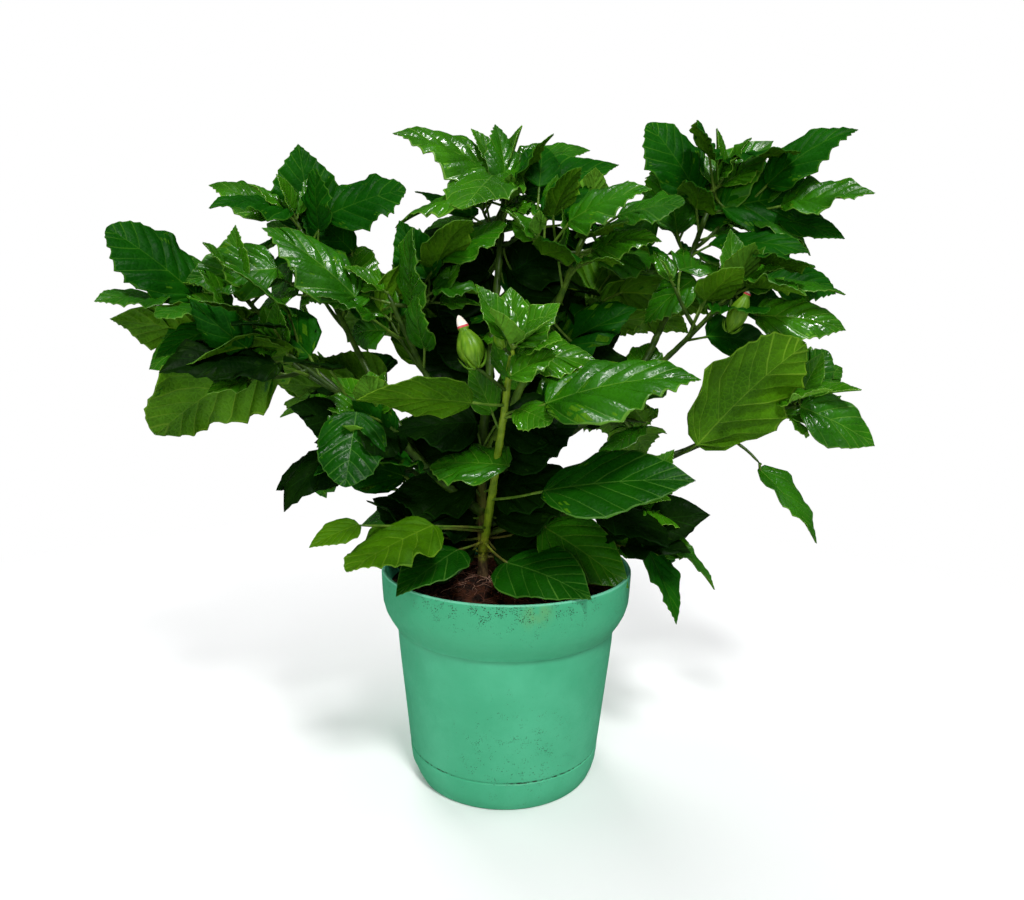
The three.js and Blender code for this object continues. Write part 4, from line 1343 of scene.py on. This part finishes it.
def shuts_gap(base, axis, length):
    """Whether a blade would cover one of the openings, seen from the front."""
    for share, breadth in ((0.0, 0.02), (0.25, 0.16), (0.5, 0.2), (0.75, 0.1), (1.0, 0.0)):
        x, z = front_place(base + axis * length * share)
        for centre in OPENINGS:
            if math.hypot(x - centre[0], z - centre[1]) < OPENING_RADIUS + breadth * length:
                return True
    return False


def has_room(base, axis, length, low, high):
    """Whether a blade stays near its mass, inside the CAD's box, clear of gaps, pot and leaves."""
    middle = base + axis * length * 0.5
    tip = base + axis * length
    if np.any(middle < low - ROOM_ROUND_MASS) or np.any(middle > high + ROOM_ROUND_MASS):
        return False
    if np.any(tip < low - ROOM_ROUND_TIP) or np.any(tip > high + ROOM_ROUND_TIP):
        return False
    if np.any(tip < cad_floor + ROOM_AT_EDGE) or np.any(tip > cad_roof - ROOM_AT_EDGE):
        return False
    if shuts_gap(base, axis, length):
        return False
    for place in (base, middle, tip):
        if place[2] < RIM_ROOM_HEIGHT and math.hypot(place[0], place[1]) < RIM_ROOM_RADIUS:
            return False
    return all(np.linalg.norm(middle - other) > LEAF_GAP * (length + size) / 2
               for other, size in blade_middles)


def sideways(along, turn):
    """The direction square to a shoot at a turn about it, counted from its upper side."""
    upper = unit(UP - along * np.dot(UP, along) + np.array([1e-4, 0, 0]))
    return turned(upper, along, turn)


def grow_twigs(curve, first, count, low, high, nearest):
    """Twigs from a limb into its mass's room. Gives every shoot and where its leaves start."""
    shoots = [(curve, first)]
    for i in range(count):
        root = curve.at(first + (0.95 - first) * (i + growth.random()) / count)
        goal = low + (high - low) * growth.uniform(0.15, 0.85, 3)
        goal[1] = max(goal[1], nearest)
        reach = min(np.linalg.norm(goal - root), TWIG_REACH)
        tip = root + unit(goal - root) * reach * 0.8
        twig = Curve(root, (root + tip) / 2 - UP * 0.1 * reach, tip)
        shares = np.linspace(0, 1, 12)
        radii = TWIG_RADII[0] - (TWIG_RADII[0] - TWIG_RADII[1]) * shares
        radii[-1] = TWIG_RADII[1] / 2
        twigs.add(*tube([twig.at(share) for share in shares], radii, TWIG_SIDES))
        shoots.append((twig, TWIG_BARE_SHARE))
    return shoots


def grow_knot(mass, shoot, count, turn, lit_side, nearest, pattern):
    """A knot of young bright leaves at a shoot's tip."""
    tip = shoot.at(1)
    along = shoot.along(1)
    for i in range(count):
        side = sideways(along, turn + GOLDEN_TURN * i)
        axis = unit(along + (0.3 + 0.15 * count) * side + 0.15 * UP)
        base = tip + axis * growth.uniform(3, 9)
        length = growth.uniform(*YOUNG_LEAF) + 3 * count
        end = base + axis * length
        clear = np.all(end < cad_roof) and np.all(end > cad_floor) and base[1] >= nearest
        if clear and not shuts_gap(base, axis, length):
            add_leaf(mass, tip, base, axis, unit(UP + along * 0.2 + lit_side), length,
                     ("young", "crinkled")[i % 2], "bright", pattern)


def grow_mass(mass, limb, first, twig_count, wanted, sizes, tones):
    """Leaves stand round a mass's limb and its twigs, wherever there is room for them."""
    low, high = (np.array(corner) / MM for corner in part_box(mass))
    curve = limb_curves[limb]
    # The crown's heart keeps behind its limbs, so that the brighter foliage stands before it.
    nearest = curve.at(1)[1] + 6 if mass.startswith("heart") else cad_floor[1]
    shoots = grow_twigs(curve, first, twig_count, low, high, nearest)
    # The foliage at the back turns its tops to the back, and the rest to the front.
    lit_side = np.array([0, TURN_TO_BACK if mass.startswith("back") else TURN_TO_FRONT, 0])
    turn = 360 * growth.random()
    placed = 0
    for attempt in range(wanted * TRIES_PER_LEAF):
        if placed == wanted:
            break
        shoot, start = shoots[attempt % len(shoots)]
        share = growth.uniform(start, 0.98)
        node = shoot.at(share)
        along = shoot.along(share)
        turn += GOLDEN_TURN
        side = sideways(along, turn)
        outward = unit(node * (1, 1, 0) - FOOT * (1, 1, 0) + 1e-3)
        stalk = unit(side + 0.7 * along + 0.35 * outward + 0.2 * UP)
        base = node + stalk * growth.uniform(14, 38)
        axis = unit(side + 0.3 * along + 0.7 * outward + UP * growth.uniform(-0.7, 0.35))
        length = growth.uniform(*sizes)
        if not has_room(base, axis, length, low, high):
            continue
        if (base + axis * length * 0.5)[1] < nearest:
            continue
        face = unit(UP + 0.45 * outward + lit_side + growth.normal(0, 0.24, 3))
        if abs(np.dot(face, axis)) > STEEPEST_FACE:
            continue
        form = growth.choice(RULE_FORMS)
        tone = tones[growth.integers(len(tones))]
        pattern = PLAIN if "painted_shade" in tones else FINE
        add_leaf(mass, node, base, axis, face, length, form, tone, pattern)
        placed += 1
    for shoot, start in shoots:
        if shoot is curve:
            grow_knot(mass, shoot, KNOT_AT_LIMB_TIP, turn, lit_side, nearest, FINE)
        else:
            grow_knot(mass, shoot, KNOT_AT_TWIG_TIP, turn, lit_side, nearest, PLAIN)


# Near-black low leaves, painted shade, rise from the trunk's foot towards the back of the rim.
SKIRT_LEAVES = 13
SKIRT_HEADINGS = (4, 176)
for i, heading in enumerate(np.linspace(*SKIRT_HEADINGS, SKIRT_LEAVES)):
    node = limb_curves["trunk"].at(0.26 + 0.05 * (i * 3 % 5))
    base = node + direction(heading + growth.uniform(-8, 8), 3 - 4 * (i % 3)) * growth.uniform(24, 40)
    axis = direction(heading, growth.uniform(12, 34))
    add_leaf("heart_low_leaves", node, base, axis, unit(UP - 0.4 * direction(heading, 0)),
             growth.uniform(60, 78), "broad", "painted_shade", PLAIN)

for mass, rule in GROWTH.items():
    grow_mass(mass, *rule)

for mass, heap in foliage.items():
    leaves = heap.piece(mass + "_foliage", leaf_paints)
    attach(leaves, "root")
    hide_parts(mass)
stalk_paint = green_stem("green_stalk", (0.05, 0.12, 0.008), (0.11, 0.2, 0.02))
stalk_piece = stalks.piece("leaf_stalks", [stalk_paint])
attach(stalk_piece, "root")
twig_piece = twigs.piece("side_twigs", [shade_darkened_stem_paint])
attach(twig_piece, "root")


# --- Buds ------------------------------------------------------------------------------------
# Closed flower buds on stalks: a ribbed green calyx over a ring of narrow bracts, out of which
# the rolled petals show, red at their base and white at their tip.

# The limb's share where it stands, the bud's foot and its tip in millimetres, its girth, and how
# far the petals show.
BUDS = [
    ("front_shoot", 0.82, (-21, -86, 330), (-34, -82, 364), 8.6, 0.25),
    ("front_shoot", 0.97, (-4, -78, 343), (-10, -78, 354), 3.4, 0.0),
    ("right_mid_shoot", 1.0, (161, -30, 357), (172, -36, 386), 6.8, 0.08),
    ("back_right_bough", 0.98, (92, 140, 424), (98, 150, 446), 6.0, 0.2),
]
CALYX, PETAL_RED, PETAL_WHITE = range(3)
BUD_STEPS = 26
BUD_SIDES = 30
BRACTS = 7
CALYX_RIB = 0.1
PETAL_FOLD = 0.12


def bud_skin(name, colour, pale, roughness):
    """A bud's smooth skin, streaked along it."""
    made, tree, shader, place = start_material(name, roughness, Specular_IOR_Level=0.35)
    skin = place_group(tree, two_tone, place, Scale=240.0, Stretch=0.3, Under=colour, Over=pale)
    tree.links.new(skin["Colour"], shader.inputs["Base Color"])
    relief(tree, shader, skin["Noise"], 0.0003)
    return made


buds = Heap()
bud_stalks = Heap()
for limb, share, foot, tip, girth, shown in BUDS:
    foot = np.array(foot, dtype=float)
    tip = np.array(tip, dtype=float)
    along = unit(tip - foot)
    length = np.linalg.norm(tip - foot)
    shares = np.linspace(0, 1, BUD_STEPS)
    calyx_end = 1 - shown
    body = np.sin(np.pi * np.clip(shares / (calyx_end * 1.12), 0, 1) ** 0.8)
    petals = 0.52 * np.sqrt(np.clip((1.0 - shares) / (shown + 0.05), 0, 1))
    radii = girth * np.where(shares < calyx_end, np.maximum(body, 0.3), petals)
    radii[0] = girth * 0.3
    radii[-1] = girth * 0.06
    points = foot + shares[:, None] * (tip - foot)
    vertices, faces = tube(points, radii, BUD_SIDES)
    centre_line = np.repeat(points, BUD_SIDES, axis=0)
    turns = np.tile(np.arange(BUD_SIDES) / BUD_SIDES, len(shares)) * 2 * math.pi
    rows = np.repeat(shares, BUD_SIDES)
    calyx_ribs = CALYX_RIB * np.cos(10 * turns) * (rows < calyx_end)
    petal_folds = PETAL_FOLD * np.cos(3 * turns + 7 * rows) * (rows >= calyx_end)
    vertices = centre_line + (vertices - centre_line) * (1 + calyx_ribs + petal_folds)[:, None]
    kinds = []
    for row in shares[:-1]:
        kind = CALYX if row < calyx_end - 0.02 else PETAL_RED if row < calyx_end + 0.03 else PETAL_WHITE
        kinds += [kind] * BUD_SIDES
    kinds += [CALYX, PETAL_WHITE if shown else CALYX]
    buds.add(vertices, faces, kinds)
    for i in range(BRACTS):
        side = sideways(along, 360 * i / BRACTS)
        reach = girth * 1.15
        line = Curve(foot + side * girth * 0.2, foot + side * girth * 0.9 - along * 0.5,
                     foot + side * (girth * 0.9 + 0.25 * reach) + along * reach)
        steps = np.linspace(0, 1, 7)
        buds.add(*tube([line.at(s) for s in steps], girth * 0.11 * (1.05 - steps ** 2), 6), CALYX)
    node = limb_curves[limb].at(share)
    line = Curve(node, (node + foot) / 2 + UP * 2 - along * 4, foot)
    steps = np.linspace(0, 1, 10)
    bud_stalks.add(*tube([line.at(s) for s in steps], 0.9 + girth * 0.05, 8))
bud_piece = buds.piece("flower_buds", [
    bud_skin("bud_calyx", (0.06, 0.17, 0.003), (0.14, 0.28, 0.012), 0.42),
    bud_skin("bud_petal_red", (0.5, 0.03, 0.05), (0.62, 0.09, 0.1), 0.5),
    bud_skin("bud_petal_white", (0.75, 0.66, 0.55), (0.85, 0.8, 0.72), 0.5)])
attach(bud_piece, "root")
bud_stalk_piece = bud_stalks.piece("bud_stalks", [shade_darkened_stem_paint])
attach(bud_stalk_piece, "root")
